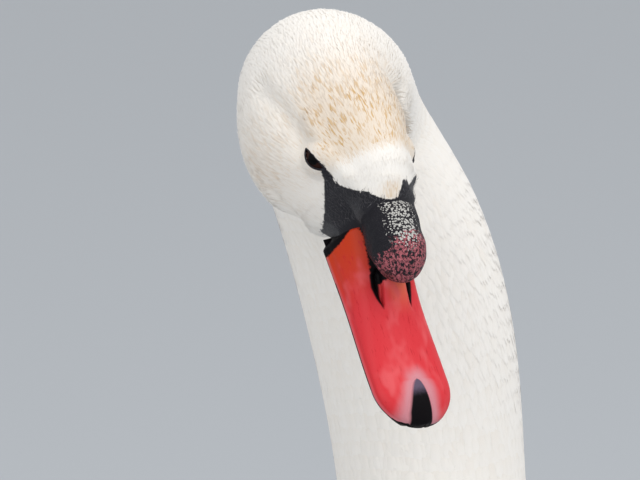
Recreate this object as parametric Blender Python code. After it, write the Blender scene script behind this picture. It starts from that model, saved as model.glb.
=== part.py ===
"""A mute swan at life size, resting on its belly with its head turned and its bill held down.

The swan faces -Y, +Z is up and +X is its left. The origin is on the floor, under the belly's flat.
Sizes are in millimetres; every mesh is written in metres.
"""

import math

import bmesh
import bpy
import numpy as np

MM = 0.001
GAP = 0.4  # clearance between two pieces that touch on the bird

# The head's own frame has its origin at the bill's tip, X along the cutting edge towards the tip,
# Y to the bird's left and Z towards the crown.
BILL_TIP = (-34.0, -356.0, 560.0)
HEAD_TURN = 16.0  # degrees to the bird's left
BILL_DIP = 51.5  # degrees below the horizontal
HEAD_ROLL = 3.0  # degrees, crown towards the bird's left

BILL_LENGTH = 88.0
BILL_ROOM = 0.8  # the head ends this much short of the bill, as its last section leans a little
BILL_HALF_WIDTH = 17.0
NAIL_END_RADIUS = 18.3  # half width of the bill's round end
FLARE = (-62.0, 40.0)  # where the bill starts to widen, and over what length
PALATE = 0.6  # how far the upper mandible's underside bulges below the cutting edge
LOWER_INSET = 1.8  # how far the lower mandible's edge lies inside the upper one's
LOWER_DROP = 2.0  # and below it
LOWER_SHORT = 4.0  # how much shorter it is at the tip
LOWER_TOP = 0.8  # rise of its upper face

EYE = (-114.5, 18.4, 24.4)  # centre of the left eyeball in the head's frame
EYE_RADIUS = 7.5

KNOB = (-71.5, 0.0, 30.0)
KNOB_RADII = (15.6, 11.5, 12.3)
KNOB_SHOULDER = -79.0  # the knob keeps its full section from the forehead to here

NAIL = (-9.8, 0.0, 4.5)
NAIL_RADII = (10.6, 5.2, 3.6)

TRUNK_RINGS = 28
TRUNK_SIDES = 26
NECK_SIDES = 22
HEAD_SIDES = 26

# Stations of the trunk and neck: spine point x, y, z, then the section's half width, its reach to
# the back, its reach to the breast side, and how pear-shaped it is (0 is even, + is wider below).
BODY_STATIONS = (
    ("rump end", 0, 392, 214, 42, 16, 22, 0.0),
    ("rump", 0, 345, 204, 80, 40, 66, 0.0),
    ("vent", 0, 260, 190, 128, 74, 134, 0.0),
    ("flank", 0, 150, 182, 160, 95, 182, 0.0),
    ("back", 0, 30, 182, 168, 98, 192, 0.0),
    ("shoulder", 0, -70, 192, 156, 86, 196, 0.0),
    ("breast", 0, -148, 222, 128, 72, 178, 0.0),
    ("crop", 0, -200, 268, 94, 60, 122, 0.0),
    ("neck base", 0, -226, 318, 64, 50, 78, 0.0),
    ("low neck", 2, -236, 372, 48, 44, 54, 0.0),
    ("mid neck", 5, -230, 440, 42, 42, 44, 0.0),
    ("thick neck", 4.5, -214, 510, 42.5, 42, 42, 0.0),
    ("tall neck", -1, -206, 562, 45, 43, 43, 0.0),
    ("top neck", -15.5, -200, 616, 43.5, 42, 42, 0.0),
    ("nape bend", -34, -206, 656, 39, 39, 37, 0.0),
)

# Stations of the head, in the head's frame: x, y, z of the spine, then the same section values.
HEAD_STATIONS = (
    ("nape", -160, 10.3, -6, 36.6, 38.8, 34, 0.04),
    ("hind crown", -143, -0.5, 4, 33.4, 42, 39, 0.14),
    ("crown", -128, -1, 11, 32.2, 38, 37.5, 0.16),
    ("eye", -114, 0, 16, 27.4, 32, 33, 0.18),
    ("lores", -101, 0, 19, 21.5, 27, 33, 0.20),
    ("bill base", -BILL_LENGTH, 0, 19, 17.4, 21, 24.5, 0.0),
    ("in the bill", 14 - BILL_LENGTH, 0, 19, 16, 15, 24, 0.0),
)


def head_axes():
    """The head frame's X, Y and Z directions in the world, as rows of a matrix."""
    turn, dip, roll = (math.radians(a) for a in (HEAD_TURN, BILL_DIP, HEAD_ROLL))
    ahead = np.array([math.sin(turn), -math.cos(turn), 0.0])
    left = np.array([math.cos(turn), math.sin(turn), 0.0])
    up = np.array([0.0, 0.0, 1.0])
    x_axis = ahead * math.cos(dip) - up * math.sin(dip)
    crown = ahead * math.sin(dip) + up * math.cos(dip)
    y_axis = left * math.cos(roll) - crown * math.sin(roll)
    z_axis = crown * math.cos(roll) + left * math.sin(roll)
    return np.array([x_axis, y_axis, z_axis])


def from_head(points):
    """Points of the head's frame in the world."""
    return np.asarray(points, float) @ head_axes() + np.array(BILL_TIP)


def through(knots, values, at):
    """A cubic curve with continuous curvature through values at knots, straight at both ends."""
    knots, values, at = (np.asarray(a, float) for a in (knots, values, at))
    steps = np.diff(knots)
    slopes = np.diff(values, axis=0) / steps[:, None]
    count = len(knots)
    system = np.eye(count)
    right = np.zeros_like(values)
    for i in range(1, count - 1):
        system[i, i - 1 : i + 2] = steps[i - 1], 2 * (steps[i - 1] + steps[i]), steps[i]
        right[i] = 6 * (slopes[i] - slopes[i - 1])
    bend = np.linalg.solve(system, right)
    i = np.clip(np.searchsorted(knots, at, side="right") - 1, 0, count - 2)
    a = (knots[i + 1] - at)[:, None]
    b = (at - knots[i])[:, None]
    h = steps[i][:, None]
    cubic = (bend[i] * a**3 + bend[i + 1] * b**3) / (6 * h)
    line = (values[i] / h - bend[i] * h / 6) * a + (values[i + 1] / h - bend[i + 1] * h / 6) * b
    return cubic + line


def knots_along(points):
    """Distances along the straight lines from point to point."""
    return np.concatenate([[0.0], np.cumsum(np.linalg.norm(np.diff(points, axis=0), axis=1))])


def smoothstep(x):
    x = np.clip(x, 0.0, 1.0)
    return x * x * (3.0 - 2.0 * x)


class Form:
    """A body of oval sections along a curved spine, from tail to bill."""

    def __init__(self, stations, head_stations=()):
        body = np.array([row[1:] for row in stations], float)
        lefts = np.tile([1.0, 0.0, 0.0], (len(body), 1))
        self.names = [row[0] for row in stations] + [row[0] for row in head_stations]
        if head_stations:
            head = np.array([row[1:] for row in head_stations], float)
            head[:, :3] = from_head(head[:, :3])
            body = np.concatenate([body, head])
            lefts = np.concatenate([lefts, np.tile(head_axes()[1], (len(head), 1))])
        self.knots = knots_along(body[:, :3])
        self.values = np.concatenate([body, lefts], axis=1)

    def at(self, name):
        """Distance of the named station along the spine."""
        return self.knots[self.names.index(name)]

    def frames(self, along):
        """Spine points, forward, left and back directions, and section sizes at these distances."""
        along = np.atleast_1d(along)
        rows = through(self.knots, self.values, along)
        step = 0.5
        ahead = through(self.knots, self.values[:, :3], along + step)
        behind = through(self.knots, self.values[:, :3], along - step)
        forward = (ahead - behind) / np.linalg.norm(ahead - behind, axis=1)[:, None]
        left = rows[:, 7:10]
        left = left - forward * (left * forward).sum(1)[:, None]
        left = left / np.linalg.norm(left, axis=1)[:, None]
        return rows[:, :3], forward, left, np.cross(forward, left), rows[:, 3:7]

    def skin(self, along, angles, shift=0.0):
        """Points of the sections at these distances: 0 degrees is left, 90 the back, 270 the belly.

        A section moves along the spine by shift. The belly is pressed flat on the floor.
        """
        centre, forward, left, back, sizes = self.frames(along)
        turn = np.radians(np.asarray(angles, float))
        across, rise = np.cos(turn), np.sin(turn)
        half, up, down, pear = (sizes[:, i : i + 1] for i in range(4))
        wide = half * (1.0 - pear * rise) * across
        high = np.where(rise > 0, up, down) * rise
        points = centre[:, None] + shift * forward[:, None]
        points = points + left[:, None] * wide[..., None] + back[:, None] * high[..., None]
        points[..., 2] = np.maximum(points[..., 2], 0.0)
        return points


SWAN = Form(BODY_STATIONS, HEAD_STATIONS)


def turns(count):
    """Angles of the corners of a ring of this many, from the left side round over the back."""
    return np.arange(count) * 360.0 / count


def material(name, colour, roughness):
    made = bpy.data.materials.new(name)
    made.use_nodes = True
    shader = made.node_tree.nodes["Principled BSDF"]
    shader.inputs["Base Color"].default_value = (*colour, 1.0)
    shader.inputs["Roughness"].default_value = roughness
    made.diffuse_color = (*colour, 1.0)
    return made


def add_object(name, mesh, collection, surface=None):
    """A smooth-shaded object of the mesh, linked to the collection. A cutter has no surface."""
    made = bpy.data.objects.new(name, mesh)
    collection.objects.link(made)
    if surface:
        mesh.materials.append(surface)
    for face in mesh.polygons:
        face.use_smooth = True
    return made


def mesh_from(name, points, faces):
    """A mesh of points in millimetres, with all its faces turned outwards."""
    mesh = bpy.data.meshes.new(name)
    mesh.from_pydata((np.asarray(points) * MM).tolist(), [], faces)
    shape = bmesh.new()
    shape.from_mesh(mesh)
    bmesh.ops.recalc_face_normals(shape, faces=shape.faces)
    shape.to_mesh(mesh)
    shape.free()
    return mesh


def tube_mesh(name, rings):
    """A closed tube through rings of points. A flat cap closes each end."""
    rings = np.asarray(rings)
    count, around = rings.shape[:2]
    faces = []
    for i in range(count - 1):
        for j in range(around):
            k = (j + 1) % around
            faces.append((i * around + j, i * around + k, (i + 1) * around + k, (i + 1) * around + j))
    faces.append(tuple(range(around)))
    faces.append(tuple(range((count - 1) * around, count * around)))
    return mesh_from(name, rings.reshape(-1, 3), faces)


def shell_mesh(name, outer, inner):
    """A closed plate between two grids of points, joined all round their borders."""
    rows, columns = outer.shape[:2]
    size = rows * columns
    number = np.arange(size).reshape(rows, columns)
    faces = []
    for i in range(rows - 1):
        for j in range(columns - 1):
            corners = (number[i, j], number[i, j + 1], number[i + 1, j + 1], number[i + 1, j])
            faces.append(tuple(int(c) for c in corners))
            faces.append(tuple(int(c) + size for c in corners[::-1]))
    border = [*number[0, :-1], *number[:-1, -1], *number[-1, :0:-1], *number[:0:-1, 0]]
    for here, after in zip(border, border[1:] + border[:1]):
        faces.append((int(here), int(after), int(after) + size, int(here) + size))
    points = np.concatenate([outer.reshape(-1, 3), inner.reshape(-1, 3)])
    return mesh_from(name, points, faces)


def cut(target, cutter):
    """Takes the cutter's shape out of the target."""
    hole = target.modifiers.new("cut " + cutter.name, "BOOLEAN")
    hole.operation = "DIFFERENCE"
    hole.object = cutter


# Trunk, neck and head


def stretch_mesh(name, start, end, rings, around, grow=0.0):
    """The stretch of the swan between two distances, half a gap short at each end."""
    along = np.linspace(start, end, rings)
    points = SWAN.skin(along, turns(around))
    points[0] = SWAN.skin(start, turns(around), GAP / 2)[0]
    points[-1] = SWAN.skin(end, turns(around), -GAP / 2)[0]
    if grow:
        centres = SWAN.frames(along)[0][:, None]
        arms = points - centres
        points = centres + arms * (1.0 + grow / np.linalg.norm(arms, axis=2, keepdims=True))
    return tube_mesh(name, points)


def nape_cut():
    """Distance along the spine at which the head joins the neck."""
    return (SWAN.at("nape bend") + SWAN.at("nape")) / 2


def add_body(parts, cutters, feathers):
    """The trunk and three lengths of neck. Returns the trunk grown by the gap, to cut others with."""
    trunk_ends = SWAN.at("rump end"), SWAN.at("neck base")
    trunk = stretch_mesh("trunk", *trunk_ends, TRUNK_RINGS, TRUNK_SIDES)
    add_object("trunk", trunk, parts, feathers)
    lengths = (
        ("neck_lower", "neck base", "mid neck", 7),
        ("neck_middle", "mid neck", "tall neck", 7),
    )
    for name, start, end, rings in lengths:
        mesh = stretch_mesh(name, SWAN.at(start), SWAN.at(end), rings, NECK_SIDES)
        add_object(name, mesh, parts, feathers)
    mesh = stretch_mesh("neck_upper", SWAN.at("tall neck"), nape_cut(), 8, NECK_SIDES)
    add_object("neck_upper", mesh, parts, feathers)
    room = stretch_mesh("trunk_clearance", *trunk_ends, TRUNK_RINGS, TRUNK_SIDES, GAP)
    return add_object("trunk_clearance", room, cutters)


def ellipsoid_mesh(name, centre, radii, segments=14, rings=8):
    """An ellipsoid at a place in the head's frame, along its axes."""
    shape = bmesh.new()
    bmesh.ops.create_uvsphere(shape, u_segments=segments, v_segments=rings, radius=1.0)
    for corner in shape.verts:
        corner.co = from_head(np.array(corner.co) * radii + centre) * MM
    mesh = bpy.data.meshes.new(name)
    shape.to_mesh(mesh)
    shape.free()
    return mesh


def add_head(parts, cutters, feathers, eye_surface):
    mesh = stretch_mesh("head", nape_cut(), SWAN.at("bill base") - BILL_ROOM, 14, HEAD_SIDES)
    head = add_object("head", mesh, parts, feathers)
    for side, sign in (("left", 1), ("right", -1)):
        place = (EYE[0], sign * EYE[1], EYE[2])
        room = ellipsoid_mesh("socket_" + side, place, [EYE_RADIUS + GAP] * 3)
        cut(head, add_object("socket_" + side, room, cutters))
        eye = ellipsoid_mesh("eye_" + side, place, [EYE_RADIUS] * 3)
        add_object("eye_" + side, eye, parts, eye_surface)


# Bill


def bill_half_width(x):
    """Half width of the bill at x: even sides, a slight flare, then a round end."""
    flare = BILL_HALF_WIDTH + (NAIL_END_RADIUS - BILL_HALF_WIDTH) * smoothstep((x - FLARE[0]) / FLARE[1])
    ahead = np.clip((x + NAIL_END_RADIUS) / NAIL_END_RADIUS, 0.0, 1.0)
    return flare * np.sqrt(1.0 - ahead**2)


# Height of the ridge above the cutting edge, and depth of the chin below it, along the bill
CULMEN = (
    (-BILL_LENGTH, 27.5),
    (-76, 25.5),
    (-64, 21.0),
    (-52, 16.2),
    (-40, 12.4),
    (-26, 9.6),
    (-12, 8.0),
    (0, 4.6),
)
CHIN = ((-BILL_LENGTH, 9.5), (-66, 9.0), (-44, 7.6), (-24, 5.6), (-10, 4.0), (0, 2.6))


def profile(keys, x):
    """The value at x of a smooth curve through (place, value) pairs."""
    keys = np.array(keys)
    return through(keys[:, 0], keys[:, 1:], x)[:, 0]


def bill_stations(short=0.0):
    """Places along the bill, which crowd towards its round end. They stop this short of the tip."""
    straight = np.linspace(-BILL_LENGTH + GAP / 2, -NAIL_END_RADIUS, 11)
    swing = np.radians(np.linspace(0, 84, 7)[1:])
    return np.concatenate([straight, -NAIL_END_RADIUS + (NAIL_END_RADIUS - short) * np.sin(swing)])


def roof_rings(x, half, top, bottom, around):
    """Rings across the bill, square to its length: a rounded roof over a flatter underside."""
    turn = np.radians(turns(around))
    across, rise = np.cos(turn), np.sin(turn)
    y = half[:, None] * across
    z = np.where(rise > 0, top[:, None] * rise, bottom[:, None] * rise)
    return np.stack([np.broadcast_to(x[:, None], y.shape), y, z], axis=2)


def knob_rings(grow, around=18):
    """Rings of the knob, which is a short tunnel from the forehead with a round front end."""
    length, half, height = (r + grow for r in KNOB_RADII)
    swing = np.radians(np.linspace(0, 80, 7))
    x = np.concatenate([[-BILL_LENGTH + GAP / 2 - grow, KNOB_SHOULDER], KNOB[0] + length * np.sin(swing)])
    size = np.concatenate([[1.0, 1.0], np.cos(swing)])
    rings = roof_rings(x, half * size, height * size, height * size, around)
    rings[..., 2] += KNOB[2]
    return rings


def add_bill(parts, cutters, horn, black_horn, knob_skin):
    x = bill_stations()
    half = bill_half_width(x)
    height = profile(CULMEN, x) * np.clip(half / NAIL_END_RADIUS, 0, 1) ** 0.25
    upper_rings = roof_rings(x, half, height, np.full_like(x, PALATE), 20)
    upper = add_object("bill_upper", tube_mesh("bill_upper", from_head(upper_rings)), parts, horn)

    x = bill_stations(LOWER_SHORT)
    half = bill_half_width(x) - LOWER_INSET
    lower_rings = roof_rings(x, half, np.full_like(x, LOWER_TOP), profile(CHIN, x), 16)
    lower_rings[..., 2] -= LOWER_DROP
    add_object("bill_lower", tube_mesh("bill_lower", from_head(lower_rings)), parts, black_horn)

    knob = tube_mesh("bill_knob", from_head(knob_rings(0.0)))
    add_object("bill_knob", knob, parts, knob_skin)
    room = tube_mesh("knob_clearance", from_head(knob_rings(GAP)))
    cut(upper, add_object("knob_clearance", room, cutters))

    nail = ellipsoid_mesh("bill_nail", NAIL, NAIL_RADII)
    add_object("bill_nail", nail, parts, black_horn)
    room = ellipsoid_mesh("nail_clearance", NAIL, [r + GAP for r in NAIL_RADII])
    cut(upper, add_object("nail_clearance", room, cutters))


# Wings: plates over a bed, which follows the back and runs on past the rump

WING_BED = Form(
    (
        ("bed end", 0, 438, 216, 18, 46, 16, 0.0),
        ("bed rear", 0, 345, 204, 94, 64, 66, 0.0),
        ("vent", 0, 260, 190, 134, 84, 134, 0.0),
        ("flank", 0, 150, 182, 163, 98.5, 182, 0.0),
        ("back", 0, 30, 182, 170.2, 100.2, 192, 0.0),
        ("shoulder", 0, -70, 192, 158.2, 88.2, 196, 0.0),
        ("breast", 0, -148, 222, 130.2, 74.2, 178, 0.0),
        ("crop", 0, -200, 268, 96, 62, 122, 0.0),
    )
)
WING_FRONT = "breast"
# Against the share of the way back: the wing's thickness, and the angles of its two edges round the bed
WING_THICKNESS = ((0.0, 3.0), (0.12, 16.0), (0.3, 30.0), (0.5, 38.0), (0.7, 34.0), (0.86, 16.0), (1.0, 3.0))
LOW_EDGE = (
    (0.0, 40.0),
    (0.04, 24.0),
    (0.12, 2.0),
    (0.3, -13.0),
    (0.5, -10.0),
    (0.68, 4.0),
    (0.84, 30.0),
    (1.0, 66.0),
)
TOP_EDGE = ((0.0, 47.0), (0.04, 56.0), (0.12, 64.0), (0.28, 80.0), (0.42, 89.5), (0.7, 89.8), (1.0, 87.0))
WING_EDGE = 2.5  # thickness at the edges
WINGS_MEET = (0.2, 0.45)  # shares between which the two wings close up along the back
WING_TIP_START = 0.76


def wing_grids(side, start, end, rows, columns):
    """Outer and inner points of one wing from its share start to end of the way back.

    The rows run across the bed from the wing's low edge to its top edge. The plate is thin at its low
    edge, and at its top edge as far back as the wings lie apart.
    """
    share = np.linspace(start, end, rows)
    along = WING_BED.at(WING_FRONT) * (1.0 - share)
    low, top, thick = (profile(keys, share)[:, None] for keys in (LOW_EDGE, TOP_EDGE, WING_THICKNESS))
    across = np.linspace(0.0, 1.0, columns)[None, :]
    angles = low + (top - low) * across
    met = smoothstep((share - WINGS_MEET[0]) / (WINGS_MEET[1] - WINGS_MEET[0]))[:, None]
    rise = smoothstep(across / 0.3) * (1.0 - (1.0 - met) * smoothstep((across - 0.55) / 0.45))
    depth = WING_EDGE + (thick - WING_EDGE) * rise
    outer, inner = [], []
    for i in range(rows):
        bed = WING_BED.skin(along[i], angles[i])[0]
        beside = WING_BED.skin(along[i], angles[i] + 1.0)[0]
        before = WING_BED.skin(along[i] + 1.0, angles[i])[0]
        out = np.cross(beside - bed, before - bed)
        out = out / np.linalg.norm(out, axis=1)[:, None]
        outer.append(bed + out * depth[i][:, None])
        inner.append(bed)
    outer, inner = np.array(outer), np.array(inner)
    for points in (outer, inner):
        points[..., 0] = np.maximum(points[..., 0], GAP) * side
    return outer, inner


def add_wings(parts, feathers):
    half_gap = GAP / 2 / WING_BED.at(WING_FRONT)
    for name, side in (("left", 1), ("right", -1)):
        outer, inner = wing_grids(side, 0.0, WING_TIP_START - half_gap, 18, 11)
        add_object("wing_" + name, shell_mesh("wing_" + name, outer, inner), parts, feathers)
        outer, inner = wing_grids(side, WING_TIP_START + half_gap, 1.0, 8, 8)
        add_object("wing_tip_" + name, shell_mesh("wing_tip_" + name, outer, inner), parts, feathers)


# Tail

# Share of the tail's length, then half width, and reach above and below its middle line
TAIL_SECTIONS = (
    (0.0, 42, 16, 22),
    (0.2, 54, 11, 13),
    (0.45, 66, 6, 7),
    (0.7, 70, 3, 4),
    (0.88, 56, 2, 2),
    (1.0, 26, 1.2, 1.2),
)
TAIL_LENGTH = 118.0
TAIL_RISE = 11.0  # degrees


def add_tail(parts, feathers):
    share = np.linspace(0.0, 1.0, 9)
    keys = np.array(TAIL_SECTIONS, float)
    half, up, down = through(keys[:, 0], keys[:, 1:], share).T
    root, forward, left, back, _ = SWAN.frames(SWAN.at("rump end"))
    turn = np.radians(turns(20))[None, :, None]
    lift = math.radians(TAIL_RISE)
    rings = []
    for i, part in enumerate(share):
        reach = part * TAIL_LENGTH + (GAP / 2 if i == 0 else 0.0)
        middle = root - forward * reach + np.array([0, 0, 1.0]) * (part**2 * TAIL_LENGTH * math.tan(lift))
        high = np.where(np.sin(turn) > 0, up[i], down[i]) * np.sin(turn)
        rings.append((middle[:, None] + left[:, None] * half[i] * np.cos(turn) + back[:, None] * high)[0])
    add_object("tail", tube_mesh("tail", rings), parts, feathers)


# Legs and feet, tucked under the flanks

LEG_BENDS = ((112.0, 158.0, 12.0), (106.0, 168.0, 30.0), (96.0, 150.0, 74.0))  # left heel and shin
FOOT_ROOT = (122.0, 52.0)  # where the left toes meet, on the floor
FOOT_HEEL = 13.0  # from there to the rear edge of the foot's solid
LEG_RADIUS = 8.0
TOES = ((-26.0, 92.0), (2.0, 126.0), (28.0, 108.0))  # degrees outwards from straight ahead, length
TOE_MARGIN = 3.0  # degrees of web outside the outer toes' middle lines
TOE_HEIGHT = 11.0
WEB_HEIGHT = 3.5


def add_leg(name, side, parts, leg_skin, trunk_room):
    """The shank lies on the floor. Above the heel the leg runs up into the flank's feathers."""
    foot_end = FOOT_ROOT[1] - FOOT_HEEL * math.cos(math.radians(TOES[-1][0] + TOE_MARGIN)) + GAP
    route = ((FOOT_ROOT[0], foot_end, LEG_RADIUS), (118.0, 100.0, LEG_RADIUS + 0.5), *LEG_BENDS)
    line = bpy.data.curves.new("leg_route", "CURVE")
    line.dimensions = "3D"
    line.bevel_depth = LEG_RADIUS * MM
    line.bevel_resolution = 2
    line.use_fill_caps = True
    spline = line.splines.new("POLY")
    knots = knots_along(np.array(route))
    smooth = through(knots, np.array(route), np.linspace(0, knots[-1], 12))
    smooth[:, 2] = np.maximum(smooth[:, 2], LEG_RADIUS)
    spline.points.add(len(smooth) - 1)
    for point, (x, y, z) in zip(spline.points, smooth):
        point.co = (side * x * MM, y * MM, z * MM, 1.0)
    guide = bpy.data.objects.new("leg_route", line)
    parts.objects.link(guide)
    graph = bpy.context.evaluated_depsgraph_get()
    mesh = bpy.data.meshes.new_from_object(guide.evaluated_get(graph))
    bpy.data.objects.remove(guide)
    shape = bmesh.new()
    shape.from_mesh(mesh)
    bmesh.ops.remove_doubles(shape, verts=shape.verts, dist=0.01 * MM)
    bmesh.ops.recalc_face_normals(shape, faces=shape.faces)
    shape.to_mesh(mesh)
    shape.free()
    mesh.materials.clear()
    cut(add_object(name, mesh, parts, leg_skin), trunk_room)


def add_foot(name, side, parts, leg_skin):
    """A webbed foot flat on the floor: three toes fan out ahead, with hollow-edged webs between."""
    spread = np.linspace(TOES[0][0] - TOE_MARGIN, TOES[-1][0] + TOE_MARGIN, 17)
    angles, lengths = np.array(TOES).T
    nearest = np.abs(spread[:, None] - angles).min(1)
    reach = np.interp(spread, angles, lengths) * (1.0 - 0.16 * smoothstep(nearest / 11.0))
    ridge = np.exp(-((nearest / 3.6) ** 2))
    share = np.linspace(0.0, 1.0, 7)
    out = FOOT_HEEL + (reach - FOOT_HEEL) * share[:, None]
    x = FOOT_ROOT[0] + out * np.sin(np.radians(spread))
    y = FOOT_ROOT[1] - out * np.cos(np.radians(spread))
    height = WEB_HEIGHT + (TOE_HEIGHT - WEB_HEIGHT) * ridge * (1.0 - 0.62 * share[:, None])
    height = np.maximum(height, TOE_HEIGHT * (1.0 - share[:, None] / 0.3))
    top = np.stack([side * x, y, height], axis=2)
    sole = np.stack([side * x, y, np.zeros_like(x)], axis=2)
    add_object(name, shell_mesh(name, top, sole), parts, leg_skin)


def new_collection(name):
    made = bpy.data.collections.new(name)
    bpy.context.scene.collection.children.link(made)
    return made


def main():
    for left_over in list(bpy.data.objects):
        bpy.data.objects.remove(left_over)
    parts = new_collection("mute_swan")
    cutters = new_collection("cutters")

    feathers = material("feathers", (0.86, 0.83, 0.77), 0.8)
    eye_surface = material("eye", (0.03, 0.018, 0.012), 0.1)
    horn = material("bill_horn", (0.80, 0.13, 0.09), 0.42)
    black_horn = material("black_horn", (0.03, 0.026, 0.03), 0.4)
    knob_skin = material("knob_skin", (0.05, 0.035, 0.04), 0.6)
    leg_skin = material("leg_skin", (0.05, 0.05, 0.05), 0.6)

    trunk_room = add_body(parts, cutters, feathers)
    add_head(parts, cutters, feathers, eye_surface)
    add_bill(parts, cutters, horn, black_horn, knob_skin)
    add_wings(parts, feathers)
    add_tail(parts, feathers)
    for name, side in (("left", 1), ("right", -1)):
        add_leg("leg_" + name, side, parts, leg_skin, trunk_room)
        add_foot("foot_" + name, side, parts, leg_skin)

    for tool in cutters.objects:
        tool.hide_render = True
        tool.display_type = "WIRE"


main()
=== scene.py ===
"""The looks of a life-size mute swan that rests on its belly with its head turned and its bill low.

The file is laid out as an add-on and run as a script. The swan faces -Y, +Z is up and +X is its left.
Sizes are in millimetres here, and every mesh is written in metres.
"""

import math

import bmesh
import bpy
import numpy as np
from mathutils import Matrix, Vector


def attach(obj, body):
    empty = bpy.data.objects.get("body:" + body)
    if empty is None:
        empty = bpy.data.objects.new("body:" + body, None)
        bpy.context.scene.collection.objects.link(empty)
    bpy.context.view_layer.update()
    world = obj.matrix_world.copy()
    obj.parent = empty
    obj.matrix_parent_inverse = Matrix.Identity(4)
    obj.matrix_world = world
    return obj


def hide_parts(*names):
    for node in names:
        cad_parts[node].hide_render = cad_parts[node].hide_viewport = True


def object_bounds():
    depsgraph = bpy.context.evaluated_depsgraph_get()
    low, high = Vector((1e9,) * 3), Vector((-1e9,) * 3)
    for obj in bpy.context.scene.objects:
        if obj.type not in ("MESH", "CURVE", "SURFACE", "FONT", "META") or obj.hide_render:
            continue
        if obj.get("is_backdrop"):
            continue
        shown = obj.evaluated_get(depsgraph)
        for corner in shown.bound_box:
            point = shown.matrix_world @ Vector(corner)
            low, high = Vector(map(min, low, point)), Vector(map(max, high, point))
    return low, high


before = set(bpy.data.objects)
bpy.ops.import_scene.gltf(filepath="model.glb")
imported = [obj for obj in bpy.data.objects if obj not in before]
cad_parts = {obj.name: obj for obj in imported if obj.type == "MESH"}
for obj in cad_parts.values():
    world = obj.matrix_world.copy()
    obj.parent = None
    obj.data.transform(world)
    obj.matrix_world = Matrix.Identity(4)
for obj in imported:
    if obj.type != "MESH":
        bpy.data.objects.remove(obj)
CAD_BOX = [list(corner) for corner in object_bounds()]

bl_info = {
    "name": "Mute swan",
    "version": (1, 0, 0),
    "blender": (4, 5, 0),
    "location": "3D View > Sidebar > Swan",
    "description": "Builds the skin, feathers, bill, eyes and feet of a mute swan around its solids",
    "category": "Add Mesh",
}

MM = 0.001
GOLDEN = (math.sqrt(5.0) - 1.0) / 2.0

# The solids' named sizes. The head's own frame has its origin at the bill's tip, X along the cutting
# edge towards the tip, Y to the bird's left and Z towards the crown.
BILL_TIP = (-34.0, -356.0, 560.0)
HEAD_TURN = 16.0
BILL_DIP = 51.5
HEAD_ROLL = 3.0
BILL_LENGTH = 88.0
BILL_HALF_WIDTH = 17.0
NAIL_END_RADIUS = 18.3
FLARE = (-62.0, 40.0)
EYE = (-114.5, 18.4, 24.4)
KNOB = (-71.5, 0.0, 30.0)
KNOB_RADII = (15.6, 11.5, 12.3)
SKEW = 0.018  # slant of the bill's ridge to the bird's right, towards its base

BODY_STATIONS = (
    ("rump end", 0, 392, 214, 42, 16, 22, 0.0),
    ("rump", 0, 345, 204, 80, 40, 66, 0.0),
    ("vent", 0, 260, 190, 128, 74, 134, 0.0),
    ("flank", 0, 150, 182, 160, 95, 182, 0.0),
    ("back", 0, 30, 182, 168, 98, 192, 0.0),
    ("shoulder", 0, -70, 192, 156, 86, 196, 0.0),
    ("breast", 0, -148, 222, 128, 72, 178, 0.0),
    ("crop", 0, -200, 268, 94, 60, 122, 0.0),
    ("neck base", 0, -226, 318, 64, 50, 78, 0.0),
    ("low neck", 2, -236, 372, 48, 44, 54, 0.0),
    ("mid neck", 5, -230, 440, 42, 42, 44, 0.0),
    ("thick neck", 4.5, -214, 510, 42.5, 42, 42, 0.0),
    ("tall neck", -1, -206, 562, 45, 43, 43, 0.0),
    ("top neck", -15.5, -200, 616, 43.5, 42, 42, 0.0),
    ("nape bend", -34, -206, 656, 39, 39, 37, 0.0),
)
HEAD_STATIONS = (
    ("nape", -160, 10.3, -6, 36.6, 38.8, 34, 0.04),
    ("hind crown", -143, -0.5, 4, 33.4, 42, 39, 0.14),
    ("crown", -128, -1, 11, 32.2, 38, 37.5, 0.16),
    ("eye", -114, 0, 16, 27.4, 32, 33, 0.18),
    ("lores", -101, 0, 19, 21.5, 27, 33, 0.20),
    ("bill base", -BILL_LENGTH, 0, 19, 17.4, 21, 24.5, 0.0),
    ("in the bill", 14 - BILL_LENGTH, 0, 19, 16, 15, 24, 0.0),
)
CULMEN = (
    (-BILL_LENGTH, 27.5),
    (-76, 25.5),
    (-64, 21.0),
    (-52, 16.2),
    (-40, 12.4),
    (-26, 9.6),
    (-12, 8.0),
    (0, 4.6),
)
CHIN = ((-BILL_LENGTH, 9.5), (-66, 9.0), (-44, 7.6), (-24, 5.6), (-10, 4.0), (0, 2.6))

WING_BED_STATIONS = (
    ("bed end", 0, 438, 216, 18, 46, 16, 0.0),
    ("bed rear", 0, 345, 204, 94, 64, 66, 0.0),
    ("vent", 0, 260, 190, 134, 84, 134, 0.0),
    ("flank", 0, 150, 182, 163, 98.5, 182, 0.0),
    ("back", 0, 30, 182, 170.2, 100.2, 192, 0.0),
    ("shoulder", 0, -70, 192, 158.2, 88.2, 196, 0.0),
    ("breast", 0, -148, 222, 130.2, 74.2, 178, 0.0),
    ("crop", 0, -200, 268, 96, 62, 122, 0.0),
)
WING_THICKNESS = ((0.0, 3.0), (0.12, 16.0), (0.3, 30.0), (0.5, 38.0), (0.7, 34.0), (0.86, 16.0), (1.0, 3.0))
LOW_EDGE = (
    (0.0, 40.0),
    (0.04, 24.0),
    (0.12, 2.0),
    (0.3, -13.0),
    (0.5, -10.0),
    (0.68, 4.0),
    (0.84, 30.0),
    (1.0, 66.0),
)
TOP_EDGE = ((0.0, 47.0), (0.04, 56.0), (0.12, 64.0), (0.28, 80.0), (0.42, 89.5), (0.7, 89.8), (1.0, 87.0))
WING_EDGE = 2.5
WINGS_MEET = (0.2, 0.45)

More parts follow.
